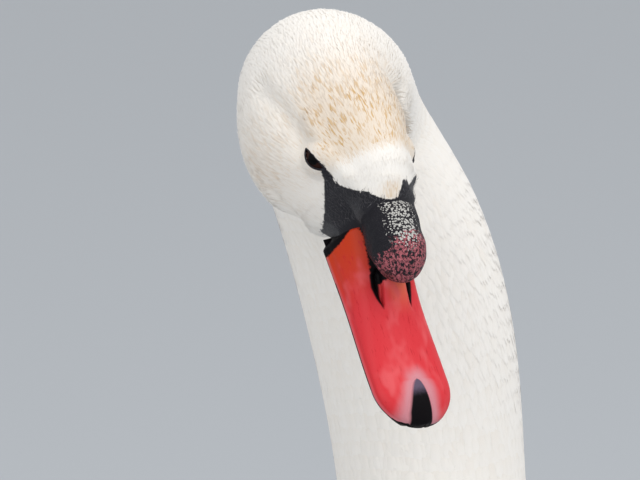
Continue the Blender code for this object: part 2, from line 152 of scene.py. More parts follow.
TAIL_SECTIONS = (
    (0.0, 42, 16, 22),
    (0.2, 54, 11, 13),
    (0.45, 66, 6, 7),
    (0.7, 70, 3, 4),
    (0.88, 56, 2, 2),
    (1.0, 26, 1.2, 1.2),
)
TAIL_LENGTH = 118.0
TAIL_RISE = 11.0

FOOT_ROOT = (122.0, 52.0)
TOES = ((-26.0, 92.0), (2.0, 126.0), (28.0, 108.0))

# Eyes. An opening's long axis goes forwards and its short axis up
EYE_CORNERS = ((-121.5, 26.4, 24.9), (-110.0, 23.0, 27.9))
LID_UP = 1.2  # half height of the opening above its long axis
LID_DOWN = 3.3
BALL_RADIUS = 9.6
BALL_SINK = 1.8  # how much deeper than the eye solid's centre the eyeball is set, along its own axis
CORNEA_RISE = 0.35
LID_THICKNESS = 0.7
LID_ROUNDING = 0.8  # size of the fillet between a lid and the face
LID_EDGE = 0.95  # share of the opening inside which the skin is sunk
SKIN_LID_SINK = 1.7
LEFT_EYE_IN = 3.0  # the left eye and its opening sit this much further in

# Least heights over the floor
SKIN_FLOOR = 2.0
COAT_FLOOR = 0.3
BODY_FEATHER_FLOOR = 1.0
VANE_FLOOR = 0.2

# Tones that are not settings
PUPIL = (0.0015, 0.0015, 0.002, 1.0)
EYE_WHITE = (0.012, 0.007, 0.006, 1.0)
BROWN_SKIN = (0.045, 0.012, 0.012, 1.0)
DULL_BROWN = (0.10, 0.022, 0.020, 1.0)
ORANGE_SPOT = (0.50, 0.13, 0.012, 1.0)
DOT_WHITE = (0.54, 0.53, 0.50, 1.0)
BRISTLE_GREY = (0.09, 0.088, 0.095)


# Settings a user would change


class SwanCoatSettings(bpy.types.PropertyGroup):
    """Numbers of feathers and depths of the coat"""

    seed: bpy.props.IntProperty(name="Seed", description="Start of the random draws", default=7)
    head_count: bpy.props.IntProperty(
        name="Head feathers", description="Feathers on the head", default=25000, min=100, max=40000
    )
    neck_count: bpy.props.IntProperty(
        name="Neck feathers", description="Feathers on the neck", default=26000, min=100, max=40000
    )
    body_count: bpy.props.IntProperty(
        name="Body feathers", description="Feathers on the breast, flanks and belly", default=4200, min=100
    )
    head_depth: bpy.props.FloatProperty(
        name="Head coat", description="Depth of the coat on the head", default=0.6 * MM, unit="LENGTH"
    )
    neck_depth: bpy.props.FloatProperty(
        name="Neck coat", description="Depth of the coat on the neck", default=0.7 * MM, unit="LENGTH"
    )
    body_depth: bpy.props.FloatProperty(
        name="Body coat", description="Depth of the coat on the body", default=7.0 * MM, unit="LENGTH"
    )


def colour(name, description, value):
    """A colour setting."""
    return bpy.props.FloatVectorProperty(
        name=name, description=description, default=value, subtype="COLOR", size=3, min=0.0, max=1.0
    )


class SwanColourSettings(bpy.types.PropertyGroup):
    """Tones of feathers, horn, skin and floor"""

    white: colour("White", "Clean feathers", (0.885, 0.857, 0.815))
    # Painted shade: this tone stands for shade deep in the coat, at feather roots and on the skin; it is also
    # the feathers' own tone in soft clouds
    cream_and_depth_shade: colour("Cream and depth shade", "Warm tone deep between the feathers", (0.82, 0.765, 0.68))
    ochre: colour("Ochre", "Stain on the crown's feathers", (0.60, 0.395, 0.185))
    bare: colour("Bare skin", "Skin between the eye and the bill", (0.010, 0.0095, 0.014))
    red: colour("Bill", "Horn of the middle of the bill", (0.66, 0.035, 0.045))
    orange: colour("Bill base", "Horn near the forehead", (0.55, 0.040, 0.008))
    worn: colour("Nail's rear", "Worn horn at the nail's rear end", (0.115, 0.085, 0.130))
    pale: colour("Bill tip", "Horn round the nail", (0.60, 0.255, 0.290))
    black: colour("Nail", "Horn of the nail, the edges and the nostrils", (0.005, 0.004, 0.005))
    pink: colour("Knob mottling", "Worn spots on the knob", (0.40, 0.105, 0.125))
    iris: colour("Iris", "Ring round the pupil", (0.022, 0.007, 0.005))
    leg: colour("Leg", "Skin of legs and feet", (0.035, 0.035, 0.037))
    floor: colour("Floor", "Floor under the bird", (0.50, 0.53, 0.56))


class SwanStageSettings(bpy.types.PropertyGroup):
    """Camera and lights"""

    azimuth: bpy.props.FloatProperty(
        name="Azimuth", description="Camera's side angle", default=math.radians(-13.0), subtype="ANGLE"
    )
    elevation: bpy.props.FloatProperty(
        name="Elevation", description="Camera's height angle", default=math.radians(12.0), subtype="ANGLE"
    )
    distance: bpy.props.FloatProperty(
        name="Distance", description="Camera to the bill's tip", default=2.5, unit="LENGTH"
    )
    lens: bpy.props.FloatProperty(
        name="Lens", description="Focal length", default=337.5, subtype="DISTANCE_CAMERA"
    )
    aim_right: bpy.props.FloatProperty(
        name="Tip right", description="Bill tip right of the middle", default=42.9 * MM, unit="LENGTH"
    )
    aim_down: bpy.props.FloatProperty(
        name="Tip down", description="Bill tip below the middle", default=78.3 * MM, unit="LENGTH"
    )
    key: bpy.props.FloatProperty(name="Key light", description="Power of the top light", default=43.5)
    fill: bpy.props.FloatProperty(name="Fill light", description="Power of the side light", default=24.0)
    sky: bpy.props.FloatProperty(name="Sky", description="Strength of the surround", default=0.74)


SETTINGS = (
    ("swan_coat", SwanCoatSettings),
    ("swan_colours", SwanColourSettings),
    ("swan_stage", SwanStageSettings),
)


# Curves and frames


def head_axes():
    """The head frame's X, Y and Z directions in the world, as rows of a matrix."""
    turn, dip, roll = (math.radians(a) for a in (HEAD_TURN, BILL_DIP, HEAD_ROLL))
    ahead = np.array([math.sin(turn), -math.cos(turn), 0.0])
    left = np.array([math.cos(turn), math.sin(turn), 0.0])
    up = np.array([0.0, 0.0, 1.0])
    x_axis = ahead * math.cos(dip) - up * math.sin(dip)
    crown = ahead * math.sin(dip) + up * math.cos(dip)
    y_axis = left * math.cos(roll) - crown * math.sin(roll)
    z_axis = crown * math.cos(roll) + left * math.sin(roll)
    return np.array([x_axis, y_axis, z_axis])


HEAD_AXES = head_axes()


def from_head(points):
    """Points of the head's frame in the world."""
    return np.asarray(points, float) @ HEAD_AXES + np.array(BILL_TIP)


def to_head(points):
    """World points in the head's frame."""
    return (points - np.array(BILL_TIP)) @ HEAD_AXES.T


def through(knots, values, at):
    """A cubic curve with continuous curvature through values at knots, straight at both ends."""
    knots, values, at = (np.asarray(a, float) for a in (knots, values, at))
    steps = np.diff(knots)
    slopes = np.diff(values, axis=0) / steps[:, None]
    count = len(knots)
    system = np.eye(count)
    right = np.zeros_like(values)
    for i in range(1, count - 1):
        system[i, i - 1 : i + 2] = steps[i - 1], 2 * (steps[i - 1] + steps[i]), steps[i]
        right[i] = 6 * (slopes[i] - slopes[i - 1])
    bend = np.linalg.solve(system, right)
    i = np.clip(np.searchsorted(knots, at, side="right") - 1, 0, count - 2)
    a = (knots[i + 1] - at)[:, None]
    b = (at - knots[i])[:, None]
    h = steps[i][:, None]
    cubic = (bend[i] * a**3 + bend[i + 1] * b**3) / (6 * h)
    line = (values[i] / h - bend[i] * h / 6) * a + (values[i + 1] / h - bend[i + 1] * h / 6) * b
    return cubic + line


def profile(keys, x):
    """The value at x of a smooth curve through (place, value) pairs."""
    keys = np.array(keys, float)
    x = np.asarray(x, float)
    return through(keys[:, 0], keys[:, 1:], x.ravel())[:, 0].reshape(x.shape)


def smoothstep(x, low=0.0, high=1.0):
    """0 at low and 1 at high: s * s * (3 - 2 s), with s the share of the way between them."""
    x = np.clip((x - low) / (high - low), 0.0, 1.0)
    return x * x * (3.0 - 2.0 * x)


def unit(vectors):
    """The vectors at length 1."""
    return vectors / np.maximum(np.linalg.norm(vectors, axis=-1, keepdims=True), 1e-9)


class Form:
    """A body of oval sections along a curved spine, from tail to bill."""

    def __init__(self, stations, head_stations=()):
        """Takes rows of name, centre, half width, reach to the back, reach to the belly and pear shape."""
        body = np.array([row[1:] for row in stations], float)
        lefts = np.tile([1.0, 0.0, 0.0], (len(body), 1))
        self.names = [row[0] for row in stations] + [row[0] for row in head_stations]
        if head_stations:
            head = np.array([row[1:] for row in head_stations], float)
            head[:, :3] = from_head(head[:, :3])
            body = np.concatenate([body, head])
            lefts = np.concatenate([lefts, np.tile(HEAD_AXES[1], (len(head), 1))])
        gaps = np.linalg.norm(np.diff(body[:, :3], axis=0), axis=1)
        self.knots = np.concatenate([[0.0], np.cumsum(gaps)])
        self.values = np.concatenate([body, lefts], axis=1)

    def at(self, name):
        """Distance of the named station along the spine."""
        return self.knots[self.names.index(name)]

    def frames(self, along):
        """Spine points, forward, left and back directions, and section sizes at these distances."""
        rows = through(self.knots, self.values, along)
        ahead = through(self.knots, self.values[:, :3], along + 0.5)
        behind = through(self.knots, self.values[:, :3], along - 0.5)
        forward = unit(ahead - behind)
        left = rows[:, 7:10]
        left = unit(left - forward * (left * forward).sum(1)[:, None])
        return rows[:, :3], forward, left, np.cross(forward, left), rows[:, 3:7]

    def points(self, along, angles, lift=0.0):
        """Surface points at matching distances and angles: 0 degrees is left, 90 back, 270 belly.

        With t the angle, a point is centre + left * half * (1 - pear sin t) * cos t + back * reach *
        sin t, moved away from the centre by lift.
        """
        shape = np.shape(along)
        along, angles = np.ravel(along), np.ravel(angles)
        centre, _, left, back, sizes = self.frames(along)
        across, rise = np.cos(np.radians(angles)), np.sin(np.radians(angles))
        half, up, down, pear = sizes.T
        wide = half * (1.0 - pear * rise) * across
        high = np.where(rise > 0, up, down) * rise
        arm = left * wide[:, None] + back * high[:, None]
        arm = arm * (1.0 + np.ravel(lift) / np.linalg.norm(arm, axis=1))[:, None]
        return (centre + arm).reshape(*shape, 3)


SWAN = Form(BODY_STATIONS, HEAD_STATIONS)
WING_BED = Form(WING_BED_STATIONS)
NAPE_CUT = (SWAN.at("nape bend") + SWAN.at("nape")) / 2


# Relief of the head


def near_line(points, line, width):
    """1 on a line of straight pieces, falling off as exp(-(distance / width) squared)."""
    line = np.array(line, float)
    nearest = np.full(len(points), 1e9)
    for start, end in zip(line[:-1], line[1:]):
        run = end - start
        share = np.clip(((points - start) @ run) / (run @ run), 0.0, 1.0)
        nearest = np.minimum(nearest, np.linalg.norm(points - start - share[:, None] * run, axis=1))
    return np.exp(-((nearest / width) ** 2))


def bump(points, centre, radii):
    """1 at the centre, falling off as exp(-distance squared) in units of the radii."""
    return np.exp(-(((points - np.array(centre)) / np.array(radii)) ** 2).sum(1))


BROW = ((-130, 26, 32), (-119, 25, 32), (-109, 20.5, 32), (-100, 16, 32))
EYE_CREASE = ((-123, 27, 25), (-131, 28.5, 24.5), (-143, 30, 20.5), (-156, 31, 12))
CHEEK_FOLD = ((-119, 29, -2), (-110.7, 28.4, -5), (-104, 22.5, -8), (-97, 17, -7))


def relief(points):
    """Height of the head's own forms over the plain oval sections, at world points.

    It adds a brow ridge, a cheek and a forehead, and takes away a groove behind the eye, the hollow in
    front of it and a fold under the cheek. Each is a smooth hump round a place or a line. The left
    brow is flatter than the right.
    """
    q = to_head(points)
    flat_brow = 2.6 * bump(q, (-114, 25, 27), (15, 11, 13))
    q[:, 1] = np.abs(q[:, 1])
    height = 1.3 * near_line(q, BROW, 4.0) - 2.3 * near_line(q, EYE_CREASE, 5.0)
    height += 1.6 * bump(q, (-127, 30, 8), (17, 12, 12)) + 0.9 * bump(q, (-99, 4, 43), (8, 12, 7))
    height -= 1.1 * bump(q, (-103, 22, 17), (8, 8, 9)) + 1.2 * near_line(q, CHEEK_FOLD, 2.6)
    return height - flat_brow


def eye_frame(side):
    """Centre of the eyeball, then the opening's centre, long axis, short axis and outward direction."""
    mirror = np.array([1.0, side, 1.0])
    inward = np.array([0.0, LEFT_EYE_IN if side > 0 else 0.0, 0.0])
    rear, front = (np.array(corner) * mirror - inward for corner in EYE_CORNERS)
    ball = np.array(EYE) * mirror - inward
    middle = (rear + front) / 2
    long_axis = unit(front - rear)
    ball = ball + long_axis * ((middle - ball) @ long_axis)
    out = unit(middle - ball)
    ball = ball - out * BALL_SINK
    return ball, middle, long_axis, -side * np.cross(out, long_axis), out


EYE_HALF_LENGTH = float(np.linalg.norm(np.diff(EYE_CORNERS, axis=0)) / 2)


def eye_opening(points, side):
    """Places round an eye: across and up in the opening, height over the ball, and edge distance.

    The opening is a lens, |up| = reach * (1 - (across / half length) squared). The last value is 0 at
    its middle and 1 at its edge.
    """
    ball, middle, long_axis, up_axis, out = eye_frame(side)
    q = to_head(points)
    along = (q - middle) @ long_axis
    rise = (q - middle) @ up_axis
    reach = np.where(rise > 0, LID_UP, LID_DOWN)
    lens = np.maximum(1.0 - (along / EYE_HALF_LENGTH) ** 2, 0.02)
    edge = np.maximum(np.abs(rise) / (reach * lens), np.abs(along) / EYE_HALF_LENGTH)
    return along, rise, (q - ball) @ out, edge


def eye_near(points, side):
    """Distance of world points from the axis of an eye, large on the head's other side."""
    ball, _, _, _, out = eye_frame(side)
    arm = to_head(points) - ball
    height = arm @ out
    return np.where(height > 0, np.linalg.norm(arm - height[:, None] * out, axis=1), 1e3)


def with_lids(points, sink=0.0):
    """Surface points raised onto a sphere round each eyeball, and sunk inside the eye's opening.

    Outside the opening the height along the eye's axis is the larger of the surface's own and the
    sphere's, rounded where they meet. Inside, it lies below that sphere by sink.
    """
    for side in (1, -1):
        out = eye_frame(side)[4]
        radius = BALL_RADIUS + LID_THICKNESS
        distance = eye_near(points, side)
        near = distance < radius
        if not near.any():
            continue
        _, _, height, edge = eye_opening(points[near], side)
        sphere = np.sqrt(radius**2 - distance[near] ** 2)
        gain = sphere - height
        rise = 0.5 * (gain + np.sqrt(gain**2 + LID_ROUNDING**2)) * (1.0 - (distance[near] / radius) ** 6)
        if sink:
            rise = np.where(edge < LID_EDGE, gain - sink, rise)
        points[near] += rise[:, None] * (out @ HEAD_AXES)
    return points


def flat_on_floor(points, low=0.0):
    """Raises points to this height where they lie under it."""
    points[..., 2] = np.maximum(points[..., 2], low)
    return points


MASK_CENTRE = 19.0  # z of the line that the bare skin in front of the eyes is carved around


def oval_reach(cosine, sine, half, height, middle):
    """Distance from the mask's centre line to an oval section, in these directions."""
    rise = MASK_CENTRE - middle
    a = (cosine / half) ** 2 + (sine / height) ** 2
    b = 2.0 * rise * sine / height**2
    c = (rise / height) ** 2 - 1.0
    return (-b + np.sqrt(np.maximum(b * b - 4.0 * a * c, 0.0))) / (2.0 * a)


def carved(points):
    """Draws the front of the head in to a hull round the bill's and the knob's sections.

    The reach from the centre line goes from its own value to the smaller of it and the hull's. The hull
    is the two sections' reaches joined by a power mean, so their corner is filled. It sinks under both
    at the front.
    """
    q = to_head(points)
    rise = q[:, 2] - MASK_CENTRE
    middle = q[:, 1] - SKEW * q[:, 0]
    reach = np.maximum(np.hypot(middle, rise), 1e-6)
    cosine, sine = middle / reach, rise / reach
    roof = oval_reach(cosine, sine, BILL_HALF_WIDTH, CULMEN[0][1], 0.0)
    under = oval_reach(cosine, sine, BILL_HALF_WIDTH, CHIN[0][1], 0.0)
    bill = np.where(MASK_CENTRE + roof * sine >= 0.0, roof, under)
    knob = oval_reach(cosine, sine, KNOB_RADII[1] + 0.9, KNOB_RADII[2] + 0.4, KNOB[2])
    hull = (bill**10 + knob**10) ** 0.1
    hull = hull + 0.35 - 2.4 * smoothstep(q[:, 0], -89.0, -84.5)
    share = smoothstep(q[:, 0], -101.0, -89.0)
    wanted = reach + (np.minimum(reach, hull) - reach) * share
    middle, rise = cosine * wanted, sine * wanted
    return from_head(np.stack([q[:, 0], middle + SKEW * q[:, 0], rise + MASK_CENTRE], 1))


def coat_surface(along, angles, depth=0.0):
    """The feathers' outer surface, or the surface this much under it.

    It is the oval sections with the head's relief on them, drawn in at the front of the head.
    """
    plain = SWAN.points(along, angles)
    height = relief(plain.reshape(-1, 3)).reshape(np.shape(along)) * (along > SWAN.at("top neck"))
    shown = SWAN.points(along, angles, height - depth)
    in_front = along > SWAN.at("eye")
    if in_front.any():
        shown[in_front] = carved(shown[in_front])
    return flat_on_floor(shown, COAT_FLOOR)


def coat_depth(along):
    """Depth of the coat along the spine: body, neck and head in smooth steps, thin at the bill."""
    coat = bpy.context.scene.swan_coat
    body, neck, head = (d / MM for d in (coat.body_depth, coat.neck_depth, coat.head_depth))
    depth = body + (neck - body) * smoothstep(along, SWAN.at("crop"), SWAN.at("mid neck"))
    depth = depth + (head - depth) * smoothstep(along, SWAN.at("nape bend"), SWAN.at("crown"))
    return depth * (1.0 - 0.5 * smoothstep(along, SWAN.at("lores"), SWAN.at("bill base")))


FOREHEAD_POINT = (-87.6, -3.0)  # x and y of the tip of the forehead's feathers
FOREHEAD_CURVES = (0.07, 0.26)  # how the edge falls back from it to the right and to the left
FOREHEAD_RISE = 7.0  # the most that it falls back
LEFT_BARE = 5.0  # the left side's bare skin reaches this much further back over the knob
# x and z of the feathers' edge over the bare skin, from the eye to the forehead
OVER_EDGE = (
    (-116.0, 27.0),
    (-110.5, 28.3),
    (-108.0, 27.4),
    (-105.3, 27.0),
    (-102.0, 28.0),
    (-98.7, 30.6),
    (-95.1, 34.3),
    (-93.1, 36.8),
    (-90.0, 39.0),
    (-86.0, 43.0),
)
# z and x of the feathers' edge on the cheek, from the gape up to the eye
CHEEK_EDGE = (
    (-12.0, -92.0),
    (-8.0, -96.0),
    (-2.5, -96.5),
    (1.6, -95.2),
    (6.0, -95.4),
    (12.3, -98.2),
    (17.5, -102.2),
    (22.3, -107.0),
    (26.0, -109.9),
    (30.0, -112.6),
)

BARE_MIDDLE = np.array([-90.0, 0.0, 8.0])
BARE_REACH = 50.0  # beyond this distance from its middle no skin is bare


def bare_distance(points):
    """How far world points lie inside the bare skin, in front of the feathers' edge. Minus is feathered.

    On the forehead the edge is x = tip - curve * (y - tip's y) squared, but never further back than
    FOREHEAD_RISE. At the sides it is a curve of z over x, and on the cheek a curve of x over z. No
    point further than BARE_REACH from the middle of the bare skin is bare.
    """
    q = to_head(points)
    x, z = q[:, 0], q[:, 2]
    aside = q[:, 1] - FOREHEAD_POINT[1]
    curve = np.where(aside < 0.0, *FOREHEAD_CURVES)
    top = x - FOREHEAD_POINT[0] + np.minimum(curve * aside**2, FOREHEAD_RISE)
    over, cheek = np.array(OVER_EDGE), np.array(CHEEK_EDGE)
    behind = np.where(aside > 0.0, LEFT_BARE, 0.0)
    side = (np.interp(x + behind, over[:, 0], over[:, 1]) - z) * 0.75
    low = (x - np.interp(z, cheek[:, 0], cheek[:, 1])) * 0.79
    reach = BARE_REACH - np.linalg.norm(q - BARE_MIDDLE, axis=-1)
    return np.minimum(np.minimum(np.where(np.abs(aside) > 8.5, side, top), low), reach)


def stain_amount(points):
    """0 to 1: the ochre stain on the crown. It starts behind a white band, and fades to the nape.

    Fainter humps of it lie on both cheeks and at the point of the forehead's feathers.
    """
    q = to_head(points)
    crown = smoothstep(-q[:, 0], 104.5, 112.0) * (1.0 - 0.85 * smoothstep(-q[:, 0], 128.0, 165.0))
    crown = crown * (0.35 * smoothstep(q[:, 2], 10.0, 28.0) + 0.65 * smoothstep(q[:, 2], 26.0, 35.0))
    cheek = 0.42 * bump(q, (-124, -30, 2), (24, 30, 17)) + 0.42 * bump(q, (-124, 30, 2), (24, 30, 17))
    tip = 0.9 * bump(q, (-89.5, FOREHEAD_POINT[1], 41), (2.6, 4.5, 9))
    return np.clip(crown + cheek + tip, 0.0, 1.0)


# Wings and tail as surfaces


def wing_surface(side, share, across, lift=0.0):
    """Outer surface of a folded wing. share runs back from its front, across from its low edge up.

    A point is the bed's point at the angle between the wing's edges, plus the bed's normal times the
    depth. The depth is the thickness at share, eased to nothing at the edges.
    """
    shape = np.shape(share)
    share, across = np.ravel(share), np.ravel(across)
    along = WING_BED.at("breast") * (1.0 - share)
    low, top, thick = (profile(keys, share) for keys in (LOW_EDGE, TOP_EDGE, WING_THICKNESS))
    met = smoothstep(share, *WINGS_MEET)
    rise = smoothstep(across, 0.0, 0.3) * (1.0 - (1.0 - met) * smoothstep(across, 0.55, 1.0))
    depth = WING_EDGE + (thick - WING_EDGE) * rise + np.ravel(lift)
    angles = low + (top - low) * across
    bed = flat_on_floor(WING_BED.points(along, angles))
    beside = WING_BED.points(along, angles + 1.0)
    before = WING_BED.points(along + 1.0, angles)
    points = bed + unit(np.cross(beside - bed, before - bed)) * depth[:, None]
    points[:, 0] = np.maximum(points[:, 0], 0.4) * side
    return points.reshape(*shape, 3)


def tail_surface(share, across, lift=0.0, upper=True):
    """Upper or under side of the tail. share runs back from its root, across from -1 right to 1 left."""
    keys = np.array(TAIL_SECTIONS, float)
    shape = np.shape(share)
    share, across = np.ravel(share), np.ravel(across)
    half, up, down = through(keys[:, 0], keys[:, 1:], share).T
    along = np.full_like(share, SWAN.at("rump end"))
    root, forward, left, back, _ = SWAN.frames(along)
    rise = share**2 * TAIL_LENGTH * math.tan(math.radians(TAIL_RISE))
    middle = root - forward * (share * TAIL_LENGTH)[:, None] + np.array([0, 0, 1.0]) * rise[:, None]
    round_off = np.sqrt(np.clip(1.0 - across**2, 0.0, 1.0))
    high = up * round_off + np.ravel(lift) if upper else -down * round_off - np.ravel(lift)
    return (middle + left * (half * across)[:, None] + back * high[:, None]).reshape(*shape, 3)


# Meshes from arrays


def build_mesh(name, points, faces):
    """A smooth mesh of points in millimetres and arrays of faces, one array for each number of corners."""
    mesh = bpy.data.meshes.new(name)
    mesh.vertices.add(len(points))
    mesh.vertices.foreach_set("co", (np.asarray(points) * MM).astype(np.float32).ravel())
    corners = np.concatenate([f.ravel() for f in faces]).astype(np.int32)
    sizes = np.concatenate([np.full(len(f), f.shape[1]) for f in faces])
    mesh.loops.add(len(corners))
    mesh.loops.foreach_set("vertex_index", corners)
    mesh.polygons.add(len(sizes))
    mesh.polygons.foreach_set("loop_start", (np.cumsum(sizes) - sizes).astype(np.int32))
    mesh.update(calc_edges=True)
    mesh.polygons.foreach_set("use_smooth", np.ones(len(sizes), bool))
    return mesh


def set_values(mesh, **values):
    """Stores arrays of one number for each point as attributes of these names."""
    for name, array in values.items():
        attribute = mesh.attributes.new(name, "FLOAT", "POINT")
        attribute.data.foreach_set("value", np.asarray(array, np.float32).ravel())


def set_uv(mesh, name, uv):
    """A UV map from one place for each point."""
    corners = np.zeros(len(mesh.loops), np.int32)
    mesh.loops.foreach_get("vertex_index", corners)
    layer = mesh.uv_layers.new(name=name)
    layer.data.foreach_set("uv", np.asarray(uv, np.float32)[corners].ravel())


def grid_faces(rows, columns, closed_round=False, start=0):
    """Quads of a grid of points stored row by row. Closed round joins the last column to the first."""
    number = start + np.arange(rows * columns).reshape(rows, columns)
    if closed_round:
        number = np.concatenate([number, number[:, :1]], axis=1)
    return np.stack([number[:-1, :-1], number[:-1, 1:], number[1:, 1:], number[1:, :-1]], -1).reshape(-1, 4)


def cap_faces(ring, centre, reverse=False):
    """Triangles from a ring of point numbers to one centre point, facing the other way if reverse."""
    ring = np.asarray(ring)
    after = np.roll(ring, -1)
    first, second = (after, ring) if reverse else (ring, after)
    return np.stack([first, second, np.full_like(ring, centre)], axis=1)


def tube_faces(rows, columns):
    """Faces of a closed tube: a grid of rings, whose first and last ring each go to one middle point.

    The two middle points are stored after the grid.
    """
    ring, size = np.arange(columns), rows * columns
    caps = [cap_faces(ring, size), cap_faces(ring + size - columns, size + 1)]
    return [grid_faces(rows, columns, closed_round=True), np.concatenate(caps)]


def tube_round(line, thick, beside, above, corners):
    """Rings round a line: line + thick * (cos t * beside + sin t * above)."""
    ring = np.arange(corners) * 2 * np.pi / corners
    turns = np.cos(ring)[None, :, None] * beside + np.sin(ring)[None, :, None] * above
    return line[:, None] + thick[:, None, None] * turns


def with_middles(block):
    """The points of a tube's grid, then the middles of its first and last ring."""
    return np.concatenate([block.reshape(-1, 3), [block[0].mean(0), block[-1].mean(0)]])


def show(name, mesh, surface, replaces=()):
    """Links a finished mesh as a piece that rides on the body, with its finish and what it replaces."""
    made = bpy.data.objects.new(name, mesh)
    bpy.context.scene.collection.objects.link(made)
    mesh.materials.append(surface)
    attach(made, "root")
    if replaces:
        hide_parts(*replaces)


# Feathers

# Length, half width and thickness of a full-sized feather, and length and half width on the body
HEAD_FEATHER = (6.6, 0.72, 0.08)
NECK_FEATHER = (10.0, 2.5, 0.05)
BODY_FEATHER = (40.0, 12.5)
BRISTLE_THICKNESS = 0.08

# Sections of a bristle and of vanes: shares of the half width, then of the thickness
BRISTLE = np.array([(-1.0, 0.0), (1.0, 0.0), (0.0, 1.0)])
SMALL_VANE = np.array([(-1.0, 0.0), (0.0, -0.35), (1.0, 0.0), (0.0, 1.0)])
BROAD_VANE = np.array(
    [(-1, -0.5), (-0.5, -0.2), (0, -0.3), (0.5, -0.2), (1, -0.5), (0.55, 0.7), (0, 1.0), (-0.55, 0.7)]
)
ROUNDING = 0.22  # how far the shading normal leans to a vane's sides
BROAD_THICKNESS = 0.7
BROAD_WIDEST = 0.62  # share of a broad vane's length where it is widest


def vanes(name, centres, sides, normals, half_width, thick, ring, tuft, root_uv):
    """One mesh of many closed vanes, as whole arrays.

    Vane n is a tube along its middle line centres[n]. At row r, corner k lies at the middle line plus
    side * half width * ring[k, 0] plus normal * thick * ring[k, 1], and the last row is one point.
    Points under VANE_FLOOR are raised to it.

    Attributes: tuft is each vane's own random number, along runs from 0 at its root to 1 at its tip,
    and across from -1 to 1. The map OFBake holds a small patch at each vane's root.

    The shading normal on the upper faces is normal + side * across * ROUNDING, so vanes lying together
    look like one soft coat. On the under faces the normal's part is turned round.
    """
    count, rows = centres.shape[:2]
    corners = len(ring)
    wide = half_width[:, :-1, None, None] * ring[None, None, :, :1]
    high = thick[:, :-1, None, None] * ring[None, None, :, 1:]
    body = centres[:, :-1, None] + sides[:, :-1, None] * wide + normals[:, :-1, None] * high
    points = np.concatenate([body.reshape(count, -1, 3), centres[:, -1:]], axis=1)
    each = points.shape[1]
    points = flat_on_floor(points.reshape(-1, 3), VANE_FLOOR)
    shift = (np.arange(count) * each)[:, None, None]
    quads = grid_faces(rows - 1, corners, closed_round=True)[None] + shift
    last = np.arange((rows - 2) * corners, (rows - 1) * corners)
    tips = cap_faces(last, each - 1)[None] + shift
    roots = np.arange(corners)[::-1][None, None] + shift
    mesh = build_mesh(name, points, [quads.reshape(-1, 4), tips.reshape(-1, 3), roots.reshape(-1, corners)])
    row_share = np.append(np.repeat(np.linspace(0, 1, rows)[:-1], corners), 1.0)
    across = np.append(np.tile(ring[:, 0], rows - 1), 0.0)
    set_values(
        mesh, tuft=np.repeat(tuft, each), along=np.tile(row_share, count), across=np.tile(across, count)
    )
    spread = sides[:, :-1, None] * ring[None, None, :, :1] * ROUNDING
    spread = np.concatenate([spread.reshape(count, -1, 3), np.zeros((count, 1, 3))], axis=1)
    outward = np.concatenate([np.repeat(normals[:, :-1], corners, axis=1), normals[:, -1:]], axis=1)
    middles = ring[:, 1] + np.roll(ring[:, 1], -1)
    facing = np.where(middles > 0.0, 1.0, -1.0)
    facing = np.concatenate(
        [
            np.tile(np.repeat(facing, 4), count * (rows - 2)),
            np.tile(np.repeat(facing, 3), count),
            np.ones(count * corners),
        ]
    )
    at = np.zeros(len(mesh.loops), np.int32)
    mesh.loops.foreach_get("vertex_index", at)
    shading = outward.reshape(-1, 3)[at] * facing[:, None] + spread.reshape(-1, 3)[at]
    mesh.normals_split_custom_set(unit(shading))
    patch = 0.003 * np.stack([across / 2, row_share - 0.5], axis=1)
    set_uv(mesh, "OFBake", (root_uv[:, None] + patch[None]).reshape(-1, 2))
    return mesh


def on_surface(surface, along, angles, depth):
    """Root points, outward directions and directions towards the tail at places on the swan."""
    step_along, step_round = 0.6, 1.0
    root = surface(along, angles, depth)
    ahead = surface(along + step_along, angles, depth) - surface(along - step_along, angles, depth)
    beside = surface(along, angles + step_round, depth) - surface(along, angles - step_round, depth)
    normal = unit(np.cross(beside, ahead))
    return root, normal, unit(-ahead)


def scatter(count, low, high, spacing):
    """Evenly mixed places on the swan between two distances: distance along and angle, no two in line.

    Place i has the angle 360 * i * golden ratio. Its distance along has as much of the summed density
    behind it as i is of count. The density is the section's girth over the spacing squared.
    """
    at = np.linspace(low, high, 400)
    girth = SWAN.frames(at)[4][:, :3].mean(1)
    total = np.cumsum(girth / spacing(at) ** 2)
    number = np.arange(count)
    along = np.interp((number + 0.5) / count, total / total[-1], at)
    return along, (number * GOLDEN % 1.0) * 360.0


def turned(direction, normal, degrees):
    """Directions turned about the normal."""
    angle = np.radians(degrees)[:, None]
    return direction * np.cos(angle) + np.cross(normal, direction) * np.sin(angle)


def small_vanes(name, places, sizes, lift, droop, draws, ring=SMALL_VANE, rows=4, twist=7.0):
    """Small feathers at places (root, normal, lie, uv) with sizes (length, half width, thickness).

    The middle line is root + length * (lie * u + normal * (lift * u - droop * u squared)), and the half
    width is width * (0.62 + 1.05 u - 1.25 u squared) up to the pointed tip.
    """
    root, normal, lie, root_uv = places
    length, half, thick = sizes
    count = len(root)
    lie = turned(lie, normal, draws.normal(0.0, twist, count))
    u = np.linspace(0.0, 1.0, rows)
    run = length[:, None] * u
    rise = length[:, None] * (lift[:, None] * u - droop * u**2)
    centres = root[:, None] + lie[:, None] * run[..., None] + normal[:, None] * rise[..., None]
    side = np.cross(normal, lie)
    sides = np.repeat(side[:, None], rows, axis=1)
    normals = np.repeat(normal[:, None], rows, axis=1)
    width = half[:, None] * (0.62 + 1.05 * u - 1.25 * u**2)
    thick = np.tile(thick[:, None], (1, rows))
    return vanes(name, centres, sides, normals, width, thick, ring, draws.random(count), root_uv)


# Materials


